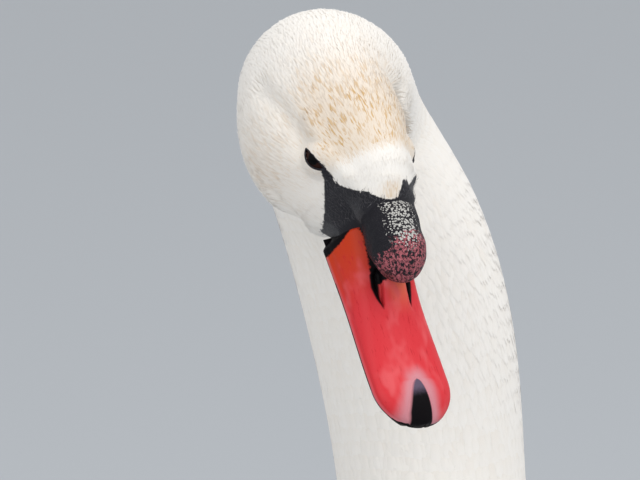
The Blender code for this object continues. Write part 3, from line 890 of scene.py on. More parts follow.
def wire(tree, kind, values=None, **settings):
    """A node with its settings, and its inputs set to constants or joined to other nodes' outputs."""
    made = tree.nodes.new(kind)
    for name, value in settings.items():
        setattr(made, name, value)
    for key, value in (values or {}).items():
        socket = made.inputs[key]
        if isinstance(value, bpy.types.NodeSocket):
            tree.links.new(value, socket)
        else:
            socket.default_value = value
    return made


def compute(tree, operation, a, b=0.0, c=0.0):
    """The output of a Math node."""
    return wire(tree, "ShaderNodeMath", {0: a, 1: b, 2: c}, operation=operation).outputs[0]


def blend(tree, factor, first, second):
    """The colour between two colours, first at 0 and second at 1."""
    made = wire(tree, "ShaderNodeMix", {0: factor, 6: first, 7: second}, data_type="RGBA")
    return made.outputs[2]


def ease(tree, value, low, high, start=0.0, end=1.0):
    """A value that goes smoothly from start to end as the input goes from low to high."""
    values = {"Value": value, "From Min": low, "From Max": high, "To Min": start, "To Max": end}
    return wire(tree, "ShaderNodeMapRange", values, interpolation_type="SMOOTHSTEP").outputs[0]


def noise(tree, vector, scale, detail=2.0, roughness=0.5):
    """The output of a noise texture."""
    values = {"Vector": vector, "Scale": scale, "Detail": detail, "Roughness": roughness}
    return wire(tree, "ShaderNodeTexNoise", values).outputs["Fac"]


def value_of(tree, name):
    """The output of a number stored on the mesh."""
    return wire(tree, "ShaderNodeAttribute", attribute_name=name).outputs["Fac"]


def place_of(tree):
    """Object coordinates."""
    return wire(tree, "ShaderNodeTexCoord").outputs["Object"]


def paint(value):
    """A tone with its fourth number, for a socket."""
    return (*value, 1.0)


def new_group(name, inputs, outputs):
    """An empty shader group with these sockets. Returns the tree, its inputs and the output node."""
    tree = bpy.data.node_groups.new(name, "ShaderNodeTree")
    kinds = {"colour": "NodeSocketColor", "number": "NodeSocketFloat", "vector": "NodeSocketVector"}
    for socket, kind in inputs:
        tree.interface.new_socket(socket, in_out="INPUT", socket_type=kinds[kind])
    for socket, kind in outputs:
        tree.interface.new_socket(socket, in_out="OUTPUT", socket_type=kinds[kind])
    source = tree.nodes.new("NodeGroupInput")
    return tree, source.outputs, tree.nodes.new("NodeGroupOutput")


def use_group(tree, group, values):
    """The outputs of a node that uses a shader group."""
    return wire(tree, "ShaderNodeGroup", values, node_tree=group).outputs


def lighter(tone, shares, rise):
    """The tone with each number multiplied by its share and raised, at most 1."""
    return tuple(min(1.0, c * share + up) for c, share, up in zip(tone, shares, rise))


def plumage_group():
    """Colour of feathers and of the skin under them, from the same markings.

    White turns creamy as painted shade deep in the coat, towards the feathers' roots and on the skin,
    and as the feathers' own tone in soft clouds and from tuft to tuft. Some tufts, picked by their
    random number, take the ochre stain where the stain is. Bare skin covers both past the feathers' edge.
    """
    found = bpy.data.node_groups.get("plumage")
    if found:
        return found
    inputs = [("White", "colour"), ("Cream and depth shade", "colour"), ("Ochre", "colour"), ("Bare", "colour")]
    inputs += [("Depth shade", "number"), ("Tuft", "number"), ("Stain", "number"), ("Bare distance", "number")]
    tree, given, result = new_group("plumage", inputs, [("Color", "colour"), ("Bare mask", "number")])
    cloud = noise(tree, place_of(tree), 42.0, 3.0)
    uneven = compute(tree, "MULTIPLY_ADD", given["Tuft"], 0.12, compute(tree, "MULTIPLY", cloud, 0.10))
    # Painted shade: the depth input, 1 at a feather's root, stands for shade deep in the coat; tuft and cloud
    # add the feathers' own uneven tone
    deep = compute(tree, "MULTIPLY_ADD", given["Depth shade"], 0.35, uneven)
    base = blend(tree, deep, given["White"], given["Cream and depth shade"])
    picked = ease(tree, given["Tuft"], 0.60, 0.97)
    patch = ease(tree, noise(tree, place_of(tree), 130.0, 1.0), 0.3, 0.66, 0.45, 1.0)
    strokes = compute(tree, "MULTIPLY_ADD", compute(tree, "MULTIPLY", picked, patch), 0.70, 0.38)
    strength = compute(tree, "MULTIPLY", given["Stain"], strokes)
    stained = blend(tree, strength, base, given["Ochre"])
    ragged = noise(tree, place_of(tree), 900.0, 2.0)
    edge = compute(tree, "MULTIPLY_ADD", ragged, 1.2, compute(tree, "ADD", given["Bare distance"], -0.6))
    mask = ease(tree, edge, -0.25, 0.25)
    tree.links.new(blend(tree, mask, stained, given["Bare"]), result.inputs["Color"])
    tree.links.new(mask, result.inputs["Bare mask"])
    return tree


def wrinkle_group():
    """Height of fine leathery wrinkles and grains, at a scale."""
    found = bpy.data.node_groups.get("wrinkles")
    if found:
        return found
    inputs = [("Scale", "number"), ("Vector", "vector")]
    tree, given, result = new_group("wrinkles", inputs, [("Height", "number")])
    values = {"Vector": given["Vector"], "Scale": given["Scale"]}
    cells = wire(tree, "ShaderNodeTexVoronoi", values, feature="DISTANCE_TO_EDGE")
    cracks = ease(tree, cells.outputs["Distance"], 0.0, 0.22)
    grain = noise(tree, given["Vector"], compute(tree, "MULTIPLY", given["Scale"], 2.7), 3.0)
    tree.links.new(compute(tree, "MULTIPLY_ADD", grain, 0.5, cracks), result.inputs["Height"])
    return tree


def new_material(name, **shader):
    """A material with constants set on its Principled shader. Returns it, its tree and the shader."""
    made = bpy.data.materials.new(name)
    made.use_nodes = True
    tree = made.node_tree
    principled = tree.nodes["Principled BSDF"]
    for socket, value in shader.items():
        principled.inputs[socket].default_value = value
    return made, tree, principled


def add_bump(tree, principled, height, distance, strength):
    """Joins a bump of this height to the shader's normal."""
    values = {"Height": height, "Distance": distance, "Strength": strength}
    tree.links.new(wire(tree, "ShaderNodeBump", values).outputs["Normal"], principled.inputs["Normal"])


# Painted shade: the skin and each point of a feather get the creamy shade of their depth in the coat
SKIN_DEPTH_SHADE = 0.75  # depth of the skin in the coat, where a feather's root is at 1 and its tip at 0
DEPTH_SHADE_POWER = 1.6


def plumage_material(name, is_skin=False):
    """Feathers, or the skin under them: soft, dull and slightly furry in the light."""
    found = bpy.data.materials.get(name)
    if found:
        return found
    tones = bpy.context.scene.swan_colours
    sheen = {"Roughness": 0.85, "Specular IOR Level": 0.12, "Sheen Weight": 0.15, "Sheen Roughness": 0.6}
    made, tree, principled = new_material(name, **sheen)
    # Painted shade: the skin and each feather's root turn creamy as if shaded deep in the coat, fading to
    # white at the tip
    if is_skin:
        deep = SKIN_DEPTH_SHADE**DEPTH_SHADE_POWER
    else:
        deep = compute(tree, "POWER", compute(tree, "SUBTRACT", 1.0, value_of(tree, "along")), DEPTH_SHADE_POWER)
    values = {
        "White": paint(tones.white),
        "Cream and depth shade": paint(tones.cream_and_depth_shade),
        "Ochre": paint(tones.ochre),
        "Bare": paint(tones.bare),
        "Depth shade": deep,
        "Tuft": value_of(tree, "tuft"),
        "Stain": value_of(tree, "stain"),
        "Bare distance": value_of(tree, "bare") if is_skin else -9.0,
    }
    coat = use_group(tree, plumage_group(), values)
    tree.links.new(coat["Color"], principled.inputs["Base Color"])
    if is_skin:
        wrinkles = use_group(tree, wrinkle_group(), {"Scale": 1400.0, "Vector": place_of(tree)})
        add_bump(tree, principled, wrinkles["Height"], 0.00012, 0.7)
        tree.links.new(ease(tree, coat["Bare mask"], 0.0, 1.0, 0.8, 0.52), principled.inputs["Roughness"])
    return made


def head_vector(tree):
    """The head frame's coordinates in millimetres, stored on the mesh."""
    parts = {axis: value_of(tree, "head_" + axis.lower()) for axis in "XYZ"}
    return wire(tree, "ShaderNodeCombineXYZ", parts).outputs[0], parts


def stretched(tree, vector, scale):
    """The vector multiplied by another, part by part."""
    return wire(tree, "ShaderNodeVectorMath", {0: vector, 1: scale}, operation="MULTIPLY").outputs[0]


def bill_material():
    """Horn of the upper bill: orange at the base, red along it, pale pink round the nail.

    Distances in millimetres are stored on the mesh, to the black edge at the base, the nostril, the
    rim and the nail. Each is eased to a mask, with noise where the border is ragged.
    """
    tones = bpy.context.scene.swan_colours
    shader = {"Coat Roughness": 0.34, "Specular IOR Level": 0.05}
    made, tree, principled = new_material("bill_horn", **shader)
    vector, parts = head_vector(tree)
    soft = noise(tree, stretched(tree, vector, (0.05, 0.09, 0.09)), 1.0, 3.0)
    shifted = compute(tree, "MULTIPLY_ADD", soft, 16.0, compute(tree, "ADD", parts["X"], -8.0))
    tone = blend(tree, ease(tree, shifted, -84.0, -52.0), paint(tones.orange), paint(tones.red))

    # Dark scratches, a light orange stripe on the ridge at the base, partly a painted highlight, and light
    # clouds
    scratches = noise(tree, stretched(tree, vector, (0.16, 0.9, 0.7)), 1.0, 4.0, 0.62)
    deep_red = lighter(tones.red, (0.78, 0.45, 0.5), (0.0, 0.0, 0.0))
    tone = blend(tree, ease(tree, scratches, 0.56, 0.70, 0.0, 0.75), tone, paint(deep_red))
    # Partly painted highlight: the ridge's paler orange is raised further to stand in for light where the
    # knob shades it
    middle = ease(tree, compute(tree, "ABSOLUTE", parts["Y"]), 2.0, 6.5, 1.0, 0.0)
    middle = compute(tree, "MULTIPLY", middle, ease(tree, parts["X"], -66.0, -44.0, 0.85, 0.0))
    light_orange_and_highlight = lighter(tones.orange, (1.8, 2.8, 5.0), (0.0, 0.13, 0.08))
    tone = blend(tree, middle, tone, paint(light_orange_and_highlight))
    light_red = lighter(tones.red, (1.06, 1.4, 1.3), (0.02, 0.05, 0.05))
    cloud = noise(tree, stretched(tree, vector, (0.07, 0.12, 0.12)), 1.0, 2.0)
    tone = blend(tree, ease(tree, cloud, 0.48, 0.72, 0.0, 0.8), tone, paint(light_red))

    # Pale horn round the nail and along the rim
    nail = value_of(tree, "nail")
    rag = compute(tree, "MULTIPLY", compute(tree, "ADD", soft, -0.5), 7.0)
    halo = ease(tree, compute(tree, "ADD", nail, rag), 0.5, 7.5, 0.92, 0.0)
    tone = blend(tree, halo, tone, paint(tones.pale))
    rim = value_of(tree, "rim")
    tone = blend(tree, ease(tree, rim, 0.5, 2.2, 0.35, 0.0), tone, paint(tones.pale))

    # Black base, nostrils, rim and nail, worn at the nail's rear
    fine = compute(tree, "MULTIPLY", compute(tree, "ADD", noise(tree, vector, 0.8, 3.0), -0.5), 1.8)
    dark = ease(tree, compute(tree, "ADD", value_of(tree, "base"), fine), -0.5, 0.5, 1.0, 0.0)
    dark = compute(tree, "MAXIMUM", dark, ease(tree, value_of(tree, "nostril"), -0.4, 0.5, 1.0, 0.0))
    dark = compute(tree, "MAXIMUM", dark, ease(tree, rim, 0.0, 0.3, 1.0, 0.0))
    dark = compute(tree, "MAXIMUM", dark, ease(tree, nail, -0.9, 0.35, 1.0, 0.0))
    rear = ease(tree, compute(tree, "ADD", parts["X"], fine), -15.5, -10.5, 1.0, 0.0)
    rear = compute(tree, "MULTIPLY", rear, ease(tree, parts["X"], -21.0, -19.0))
    horn = blend(tree, rear, paint(tones.black), paint(tones.worn))
    tree.links.new(blend(tree, dark, tone, horn), principled.inputs["Base Color"])

    polish = noise(tree, vector, 0.5, 3.0)
    tree.links.new(ease(tree, polish, 0.3, 0.7, 0.40, 0.54), principled.inputs["Roughness"])
    shine = compute(tree, "MULTIPLY", compute(tree, "SUBTRACT", 1.0, dark), 0.22)
    tree.links.new(shine, principled.inputs["Coat Weight"])
    height = compute(tree, "MULTIPLY_ADD", scratches, -0.7, noise(tree, vector, 1.7, 2.0))
    add_bump(tree, principled, height, 0.0002, 0.35)
    return made


def knob_material():
    """Skin of the knob: black, with rows of white dots on top and worn pink spots in front."""
    tones = bpy.context.scene.swan_colours
    made, tree, principled = new_material("knob_skin", **{"Specular IOR Level": 0.2})
    vector, _ = head_vector(tree)
    rough = noise(tree, vector, 0.55, 4.0, 0.65)
    ragged = compute(tree, "MULTIPLY_ADD", rough, 1.5, compute(tree, "ADD", value_of(tree, "worn"), -0.75))
    islands = ease(tree, noise(tree, vector, 0.85, 4.0, 0.72), 0.45, 0.53)
    blotches = wire(tree, "ShaderNodeTexVoronoi", {"Vector": vector, "Scale": 0.27, "Randomness": 0.9})
    clear = ease(tree, blotches.outputs["Distance"], 0.22, 0.30)
    islands = compute(tree, "MULTIPLY", islands, clear)
    worn = compute(tree, "MULTIPLY", ease(tree, ragged, 0.38, 0.50), islands)
    light_pink = lighter(tones.pink, (1.2,) * 3, (0.03,) * 3)
    cloud = ease(tree, noise(tree, vector, 0.9, 2.0), 0.45, 0.65)
    pink = blend(tree, cloud, paint(tones.pink), paint(light_pink))
    brown = ease(tree, value_of(tree, "brown"), 0.25, 0.8)
    under = blend(tree, brown, paint(tones.bare), BROWN_SKIN)
    dull = blend(tree, compute(tree, "MULTIPLY", brown, 0.75), pink, DULL_BROWN)
    tone = blend(tree, worn, under, dull)
    tone = blend(tree, ease(tree, value_of(tree, "spot"), 0.35, 0.75, 0.0, 0.8), tone, ORANGE_SPOT)
    cells = wire(tree, "ShaderNodeTexVoronoi", {"Vector": vector, "Scale": 1.0, "Randomness": 0.85})
    dotted = value_of(tree, "dotted")
    wide = ease(tree, dotted, 0.5, 1.0, 0.34, 0.54)
    dots = ease(tree, compute(tree, "SUBTRACT", wide, cells.outputs["Distance"]), 0.0, 0.10)
    dots = compute(tree, "MULTIPLY", dots, ease(tree, compute(tree, "ADD", dotted, rough), 0.72, 0.88))
    tone = blend(tree, dots, tone, DOT_WHITE)
    tree.links.new(tone, principled.inputs["Base Color"])
    tree.links.new(ease(tree, rough, 0.3, 0.7, 0.42, 0.60), principled.inputs["Roughness"])
    wrinkles = use_group(tree, wrinkle_group(), {"Scale": 1.3, "Vector": vector})
    add_bump(tree, principled, compute(tree, "ADD", wrinkles["Height"], dots), 0.00022, 0.8)
    return made


def horn_material(name, tone, roughness, scale=700.0):
    """Dark horn or leathery skin of one tone, with a fine grain."""
    made, tree, principled = new_material(name, **{"Specular IOR Level": 0.2})
    grain = noise(tree, place_of(tree), scale, 3.0)
    light = lighter(tone, (1.9,) * 3, (0.01,) * 3)
    mottled = blend(tree, ease(tree, grain, 0.45, 0.75), paint(tone), paint(light))
    tree.links.new(mottled, principled.inputs["Base Color"])
    tree.links.new(ease(tree, grain, 0.3, 0.7, roughness, roughness + 0.12), principled.inputs["Roughness"])
    wrinkles = use_group(tree, wrinkle_group(), {"Scale": scale * 0.6, "Vector": place_of(tree)})
    add_bump(tree, principled, wrinkles["Height"], 0.0002, 0.5)
    return made


def eye_material():
    """A wet dark eye: a brown ring round a black pupil, with fine spokes."""
    tones = bpy.context.scene.swan_colours
    shader = {"Roughness": 0.10, "Coat Weight": 0.03, "Coat Roughness": 0.03, "Specular IOR Level": 0.07}
    made, tree, principled = new_material("eye_wet", **shader)
    ring = value_of(tree, "ring")
    spokes = noise(tree, place_of(tree), 1500.0, 2.0)
    tone = compute(tree, "MULTIPLY_ADD", spokes, 0.10, ring)
    iris = blend(tree, ease(tree, tone, 0.28, 0.34), PUPIL, paint(tones.iris))
    tone = blend(tree, ease(tree, tone, 0.58, 0.66), iris, EYE_WHITE)
    tree.links.new(tone, principled.inputs["Base Color"])
    return made


# Pieces


def show_feathers(name, mesh, stain=0.0):
    """Shows a mesh of feathers as a piece of the plumage, with this share of stain at each point."""
    set_values(mesh, stain=np.zeros(len(mesh.vertices)) + stain)
    show(name, mesh, plumage_material("plumage"))


def map_place(across, up):
    """Places on a UV map from shares of its width and height, with a narrow margin all round."""
    return np.stack([across * 0.98 + 0.01, up * 0.98 + 0.01], 1)


def body_uv(along, angles):
    """Place on the unwrap of the swan: distance along the spine across, angle up."""
    return map_place(along / SWAN.knots[-1], angles / 360.0)


class SWAN_OT_skin(bpy.types.Operator):
    """Builds the one skin under the coat, with lids and bare skin, and hides the plain flesh solids"""

    bl_idname = "swan.skin"
    bl_label = "Skin"

    def execute(self, context):
        """The body is coat_surface over a grid of distance and angle, sunk by the coat's depth.

        Its ends are closed. The wings' and the tail's cores are shells under their outer surfaces.
        """
        stops = [SWAN.at(n) for n in ("rump end", "neck base", "top neck", "crown", "lores", "bill base")]
        stops.append(stops[-1] + 5.0)
        counts, columns = (80, 70, 60, 60, 50, 24), 200
        runs = zip(stops[:-1], stops[1:], counts)
        along = np.concatenate([np.linspace(a, b, n, endpoint=False) for a, b, n in runs] + [stops[-1:]])
        along, angles = np.meshgrid(along, np.arange(columns) * 360.0 / columns, indexing="ij")
        shape = coat_surface(along, angles, coat_depth(along))
        lidded = with_lids(shape.reshape(-1, 3), SKIN_LID_SINK)
        shape = flat_on_floor(lidded, SKIN_FLOOR).reshape(shape.shape)
        points, faces = closed_tubes([shape, *self.cores()])
        mesh = build_mesh("skin", points, faces)
        face_outwards(mesh)
        tuft = np.full(len(points), 0.5)
        set_values(mesh, stain=stain_amount(points), tuft=tuft, bare=bare_distance(points))
        nodes = ("trunk", "neck_lower", "neck_middle", "neck_upper", "head", "tail")
        wings = ("wing_left", "wing_right", "wing_tip_left", "wing_tip_right")
        flesh = plumage_material("plumage_skin", is_skin=True)
        show("skin", mesh, flesh, nodes + wings)
        return {"FINISHED"}

    def cores(self):
        """Grids that go out over the upper side and back over the under side: two wings and the tail."""
        share, across = np.meshgrid(np.linspace(0.012, 0.975, 60), np.linspace(0.02, 0.97, 26), indexing="ij")
        for side in (1, -1):
            thin = 1.0 + 4.0 * np.sin(np.pi * share)
            outer, inner = (wing_surface(side, share, across, -thin - under) for under in (0.0, 1.2))
            yield np.concatenate([outer, inner[:, ::-1]], axis=1)
        share, across = np.meshgrid(np.linspace(0.0, 0.8, 20), np.linspace(-0.94, 0.94, 26), indexing="ij")
        outer, inner = (tail_surface(share, across, -0.8, upper) for upper in (True, False))
        yield np.concatenate([outer, inner[:, ::-1]], axis=1)


def closed_tubes(grids):
    """Points and faces of grids whose rows are rings, each with its two ends closed to a middle point."""
    points, quads, ends = [], [], []
    start = 0
    for grid in grids:
        rows, columns = grid.shape[:2]
        size = rows * columns
        points += [grid.reshape(-1, 3), grid[[0, -1]].mean(1)]
        quads.append(grid_faces(rows, columns, closed_round=True, start=start))
        first = start + np.arange(columns)
        ends.append(cap_faces(first, start + size, reverse=True))
        ends.append(cap_faces(first + size - columns, start + size + 1))
        start += size + 2
    return np.concatenate(points), [np.concatenate(quads), np.concatenate(ends)]


def face_outwards(mesh):
    """Turns every face of a closed mesh outwards."""
    shape = bmesh.new()
    shape.from_mesh(mesh)
    bmesh.ops.recalc_face_normals(shape, faces=shape.faces)
    shape.to_mesh(mesh)
    shape.free()


def show_small(name, pick, places, sizes, lift, draws, stain, twist=7.0):
    """Shows the picked small feathers as one piece. stain gives each one's share from its root."""
    chosen = tuple(part[pick] for part in places)
    length, half, thick = sizes
    count = pick.sum()
    sizes = (length[pick], half[pick], np.full(count, thick))
    mesh = small_vanes(name, chosen, sizes, lift[pick], 0.0, draws, rows=3, twist=twist)
    show_feathers(name, mesh, np.repeat(stain(chosen[0]), len(mesh.vertices) // count))


def eyes_clear(points, room):
    """True where points lie outside both eye openings by a share of their size."""
    clear = np.ones(len(points), bool)
    for side in (1, -1):
        near = eye_near(points, side) < BALL_RADIUS - 0.1
        edge = eye_opening(points, side)[3]
        clear &= ~(near & (edge < room))
    return clear


def eye_distance(points):
    """Distance of world points from the nearer eye's axis."""
    return np.minimum(eye_near(points, 1), eye_near(points, -1))


class SWAN_OT_head_coat(bpy.types.Operator):
    """Lays short fine feathers over the head, smallest round the eyes and the bill"""

    bl_idname = "swan.head_coat"
    bl_label = "Head feathers"

    def execute(self, context):
        """Feathers are scattered over the head's surface, leaving out bare skin and the eye openings."""
        coat = context.scene.swan_coat
        draws = np.random.default_rng(coat.seed)

        def spacing(at):
            """Feathers get smaller and denser from the hind crown to the lores."""
            return 1.0 - 0.45 * smoothstep(at, SWAN.at("hind crown"), SWAN.at("lores"))

        low, high = NAPE_CUT - 12.0, SWAN.at("bill base") - 0.5
        along, angles = scatter(coat.head_count, low, high, spacing)
        along = along + draws.normal(0.0, 0.25, len(along))
        depth = coat_depth(along)
        plain, _, _ = on_surface(coat_surface, along, angles, depth)
        keep = (bare_distance(plain) < draws.normal(-0.2, 0.5, len(along))) & eyes_clear(plain, 1.18)
        along, angles, depth = along[keep], angles[keep], depth[keep]

        def lidded(at, turn, deep):
            """The coat's surface with the lids raised on it."""
            return with_lids(coat_surface(at, turn, deep))

        root, normal, lie = on_surface(lidded, along, angles, depth)
        size = spacing(along) * (0.42 + 0.58 * smoothstep(eye_distance(root), 4.0, 13.0))
        full_length, full_half, thick = HEAD_FEATHER
        length = full_length * size * draws.uniform(0.75, 1.25, len(root))
        run = lie * length[:, None]
        keep = eyes_clear(root + run, 1.04) & eyes_clear(root + run / 2, 1.04)
        kept = (along, angles, root, normal, lie, size, length)
        along, angles, root, normal, lie, size, length = (part[keep] for part in kept)
        half = full_half * size**0.7 * draws.uniform(0.8, 1.2, len(root))
        lift = 0.035 + 0.012 * draws.normal(0.0, 1.0, len(root))
        places = (root - normal * 0.05, normal, lie, body_uv(along, angles))
        left = to_head(root)[:, 1] > 0
        for name, pick in (("head_coat_left", left), ("head_coat_right", ~left)):
            show_small(name, pick, places, (length, half, thick), lift, draws, stain_amount)
        return {"FINISHED"}


class SWAN_OT_neck_coat(bpy.types.Operator):
    """Lays narrow soft feathers down the neck, longer towards the breast"""

    bl_idname = "swan.neck_coat"
    bl_label = "Neck feathers"

    def execute(self, context):
        """Feathers are scattered down the neck, and their roots rise and fall a little in waves."""
        coat = context.scene.swan_coat
        draws = np.random.default_rng(coat.seed + 1)

        def grow(at):
            """Feathers get longer and sparser down the neck."""
            return 1.0 + 1.2 * (1.0 - smoothstep(at, SWAN.at("crop"), SWAN.at("thick neck")))

        along, angles = scatter(coat.neck_count, SWAN.at("crop") + 10.0, NAPE_CUT + 6.0, grow)
        depth = coat_depth(along)
        root, normal, lie = on_surface(coat_surface, along, angles, depth)
        size = grow(along) * (1.0 - 0.45 * smoothstep(along, SWAN.at("top neck"), NAPE_CUT))
        clump = np.sin(along * 0.9 + 2.0 * np.sin(np.radians(angles) * 3.0)) * 0.5 + 0.5
        full_length, full_half, thick = NECK_FEATHER
        length = full_length * size * draws.uniform(0.75, 1.25, len(root))
        half = full_half * size * draws.uniform(0.8, 1.2, len(root))
        lift = 0.009 + 0.003 * draws.normal(0.0, 1.0, len(root))
        root = root + normal * (0.14 * clump**2 * size)[:, None]
        places = (root, normal, lie, body_uv(along, angles))
        middle = np.median(along)

        def stain(roots):
            """A trace of stain, its own for each feather."""
            return 0.06 * draws.random(len(roots))

        for name, pick in (("neck_coat_low", along < middle), ("neck_coat_high", along >= middle)):
            show_small(name, pick, places, (length, half, thick), lift, draws, stain, twist=2.0)
        return {"FINISHED"}


def broad_vanes(name, surface, along, angles, length, half, draws, lift, uv, rows=6):
    """Rounded feathers that bend with the surface they lie on.

    surface(along, angles, height) gives points. The middle line runs back along the surface, from the
    root by length, and rises by lift * u. The half width goes as two quarter ovals that meet where it
    is widest, and each row's differs by up to 7 percent.
    """
    u = np.linspace(0.0, 1.0, rows)
    back = along[:, None] - length[:, None] * u
    turn = np.repeat(angles[:, None], rows, axis=1)
    height = lift[:, None] * u
    centres = surface(back, turn, height)
    ahead = unit(surface(back - 0.6, turn, height) - surface(back + 0.6, turn, height))
    beside = surface(back, turn + 0.7, height) - surface(back, turn - 0.7, height)
    normals = unit(np.cross(ahead, beside))
    rise = surface(back, turn, height + 1.0) - centres
    normals = np.where((normals * rise).sum(-1, keepdims=True) < 0.0, -normals, normals)
    sides = unit(np.cross(normals, ahead))
    reach = np.where(u > BROAD_WIDEST, 0.39, 0.66)
    shape = np.sqrt(np.clip(1.0 - ((u - BROAD_WIDEST) / reach) ** 2, 0.0, 1.0))
    width = half[:, None] * shape * draws.uniform(0.93, 1.07, (len(along), rows))
    thick = np.full((len(along), rows), BROAD_THICKNESS)
    return vanes(name, centres, sides, normals, width, thick, BROAD_VANE, draws.random(len(along)), uv)


WING_BED_FRONT_Y = -148.0
WING_BED_REAR_Y = 438.0
WING_BED_HEIGHT = 188.0


def under_wing(points):
    """True where body points lie well inside a folded wing's cover, by the wing's own edges."""
    share = (WING_BED_FRONT_Y - points[:, 1]) / (WING_BED_FRONT_Y - WING_BED_REAR_Y)
    low, top = (profile(keys, np.clip(share, 0.0, 1.0)) for keys in (LOW_EDGE, TOP_EDGE))
    angle = np.degrees(np.arctan2(points[:, 2] - WING_BED_HEIGHT, np.abs(points[:, 0])))
    return (share > 0.05) & (share < 0.97) & (angle > low + 9.0) & (angle < top - 7.0)


class SWAN_OT_body_coat(bpy.types.Operator):
    """Covers breast, flanks, belly and rump with overlapping rounded feathers"""

    bl_idname = "swan.body_coat"
    bl_label = "Body feathers"

    def execute(self, context):
        """Feathers are scattered over the body, but not under the wings and few where it meets the floor."""
        coat = context.scene.swan_coat
        draws = np.random.default_rng(coat.seed + 2)
        deep = coat.body_depth / MM

        def grow(at):
            """Feathers get smaller and denser from the shoulder to the neck."""
            return 1.0 - 0.45 * smoothstep(at, SWAN.at("shoulder"), SWAN.at("neck base"))

        low, high = SWAN.at("rump end") + 6.0, SWAN.at("neck base") + 40.0
        along, angles = scatter(coat.body_count, low, high, grow)
        along = along + draws.normal(0.0, 2.0, len(along))
        plain = coat_surface(along, angles)
        on_floor = (plain[:, 2] < 1.0) & (draws.random(len(along)) < 0.8)
        keep = ~under_wing(plain) & ~on_floor
        along, angles = along[keep], angles[keep]
        size = grow(along)
        full_length, full_half = BODY_FEATHER
        length = full_length * size * draws.uniform(0.85, 1.15, len(along))
        half = full_half * size * draws.uniform(0.85, 1.15, len(along))
        lift = deep * 0.9 * draws.uniform(0.75, 1.15, len(along))
        neckward = smoothstep(along, SWAN.at("breast"), SWAN.at("neck base"))
        lift = lift * (1.0 - 0.45 * neckward)

        def surface(at, turn, height):
            """The skin raised by a height, and flat on the floor."""
            return flat_on_floor(SWAN.points(at, turn, height - coat_depth(at)), BODY_FEATHER_FLOOR)

        left = np.cos(np.radians(angles)) > 0
        for name, pick in (("body_coat_left", left), ("body_coat_right", ~left)):
            at, turn = along[pick], angles[pick]
            uv = body_uv(at, turn)
            mesh = broad_vanes(name, surface, at, turn, length[pick], half[pick], draws, lift[pick], uv)
            show_feathers(name, mesh)
        return {"FINISHED"}


# Bill, knob and eyes


def bill_half_width(x):
    """Half width of the bill at x: even sides, a slight flare, then a round end."""
    flare = BILL_HALF_WIDTH + (NAIL_END_RADIUS - BILL_HALF_WIDTH) * smoothstep((x - FLARE[0]) / FLARE[1])
    ahead = np.clip((x + NAIL_END_RADIUS) / NAIL_END_RADIUS, 0.0, 1.0)
    return flare * np.sqrt(1.0 - ahead**2)


NAIL_START = -18.4  # x of the nail's rear end
NAIL_WIDEST = -5.0
NAIL_HALF_WIDTH = 5.3
# x, y and half width of the left nostril
NOSTRIL = (
    (-67.0, 7.5, 0.6),
    (-65.0, 7.6, 2.0),
    (-60.0, 7.7, 2.1),
    (-55.0, 7.4, 1.2),
    (-52.0, 7.0, 0.5),
    (-50.0, 6.8, 0.0),
)
BLACK_BAND = 9.2  # half width of the black band round the knob's root
BILL_START = -86.2  # x of the black skin's edge on the bill


def nail_distance(x, y):
    """Distance outside the nail's outline, seen from above: a shield that narrows to the rear."""
    share = np.clip((x - NAIL_START) / (NAIL_WIDEST - NAIL_START), 0.0, 1.0)
    aside = np.abs(y + 1.0 + 1.1 * share)
    half = NAIL_HALF_WIDTH * share**0.45
    behind = np.maximum(NAIL_START - x, 0.0)
    outside = np.hypot(np.maximum(aside - half, 0.0), behind)
    return outside - np.where(behind <= 0, np.clip(half - aside, 0.0, 2.0), 0.0)


def nostril_distance(x, y):
    """Distance outside either nostril, a slot that is widest in its rear half."""
    line = np.array(NOSTRIL)
    middle = np.interp(x, line[:, 0], line[:, 1])
    half = np.interp(x, line[:, 0], line[:, 2])
    past = np.maximum(line[0, 0] - x, 0.0) + np.maximum(x - line[-1, 0], 0.0)
    aside = np.abs(np.abs(y) - middle) - half
    return np.where(past > 0, np.hypot(np.maximum(aside, 0.0), past), aside)


def base_distance(x, y):
    """Distance in front of the black skin at the bill's base: over the base, and beside the knob."""
    beside = np.maximum(np.abs(y) - BLACK_BAND, x + 61.0)
    shoulder = 4.5 * smoothstep(np.abs(y), 11.0, 17.5)
    return -1.2 * np.logaddexp(-(x - BILL_START - shoulder) / 1.2, -beside / 1.2)


def bill_roof(x, turn):
    """Upper bill at x and angle: 0 left edge, 90 ridge, 180 right edge, in the head's frame.

    The section is y = half * cos t and z = height * sin t to a power under 1, which flattens the top
    towards the tip. A low ridge runs down the middle, with a shallow dip beside it at the base.
    """
    half = bill_half_width(x)
    height = profile(CULMEN, x) * np.clip(half / NAIL_END_RADIUS, 0, 1) ** 0.25
    power = 1.0 - 0.22 * smoothstep(x, -60.0, -25.0)
    across, rise = np.cos(np.radians(turn)), np.abs(np.sin(np.radians(turn)))
    y = half * across
    z = height * rise**power
    base = 1.0 - smoothstep(x, -60.0, -36.0)
    dip = np.exp(-(((np.abs(across) - 0.52) / 0.2) ** 2)) * 1.5 * base
    ridge = np.exp(-((across / 0.30) ** 2)) * 0.5
    nail = nail_distance(x, y)
    nail_top = 0.5 * smoothstep(-nail, -0.3, 0.6) - 0.35 * np.exp(-((nail / 0.6) ** 2))
    nail_top = nail_top * (x > NAIL_START - 3.0)
    swell = 0.7 * np.exp(-(((x + 9.0) / 9.0) ** 2)) * rise
    slot = nostril_distance(x, y)
    hollow = 3.2 * smoothstep(-slot, -0.1, 0.9) + 0.4 * np.exp(-((slot / 1.4) ** 2))
    rim = 0.35 * np.exp(-(((rise - 0.16) / 0.07) ** 2))
    lift = ridge - dip + nail_top + swell - hollow - rim
    out = unit(np.stack([np.zeros_like(y), across, rise + 0.05], -1))
    tucked = 1.0 - 0.24 * smoothstep(-x, 85.0, 90.0)
    return np.stack([x, y * tucked + SKEW * x, z * tucked], -1) + out * (lift * tucked)[..., None]


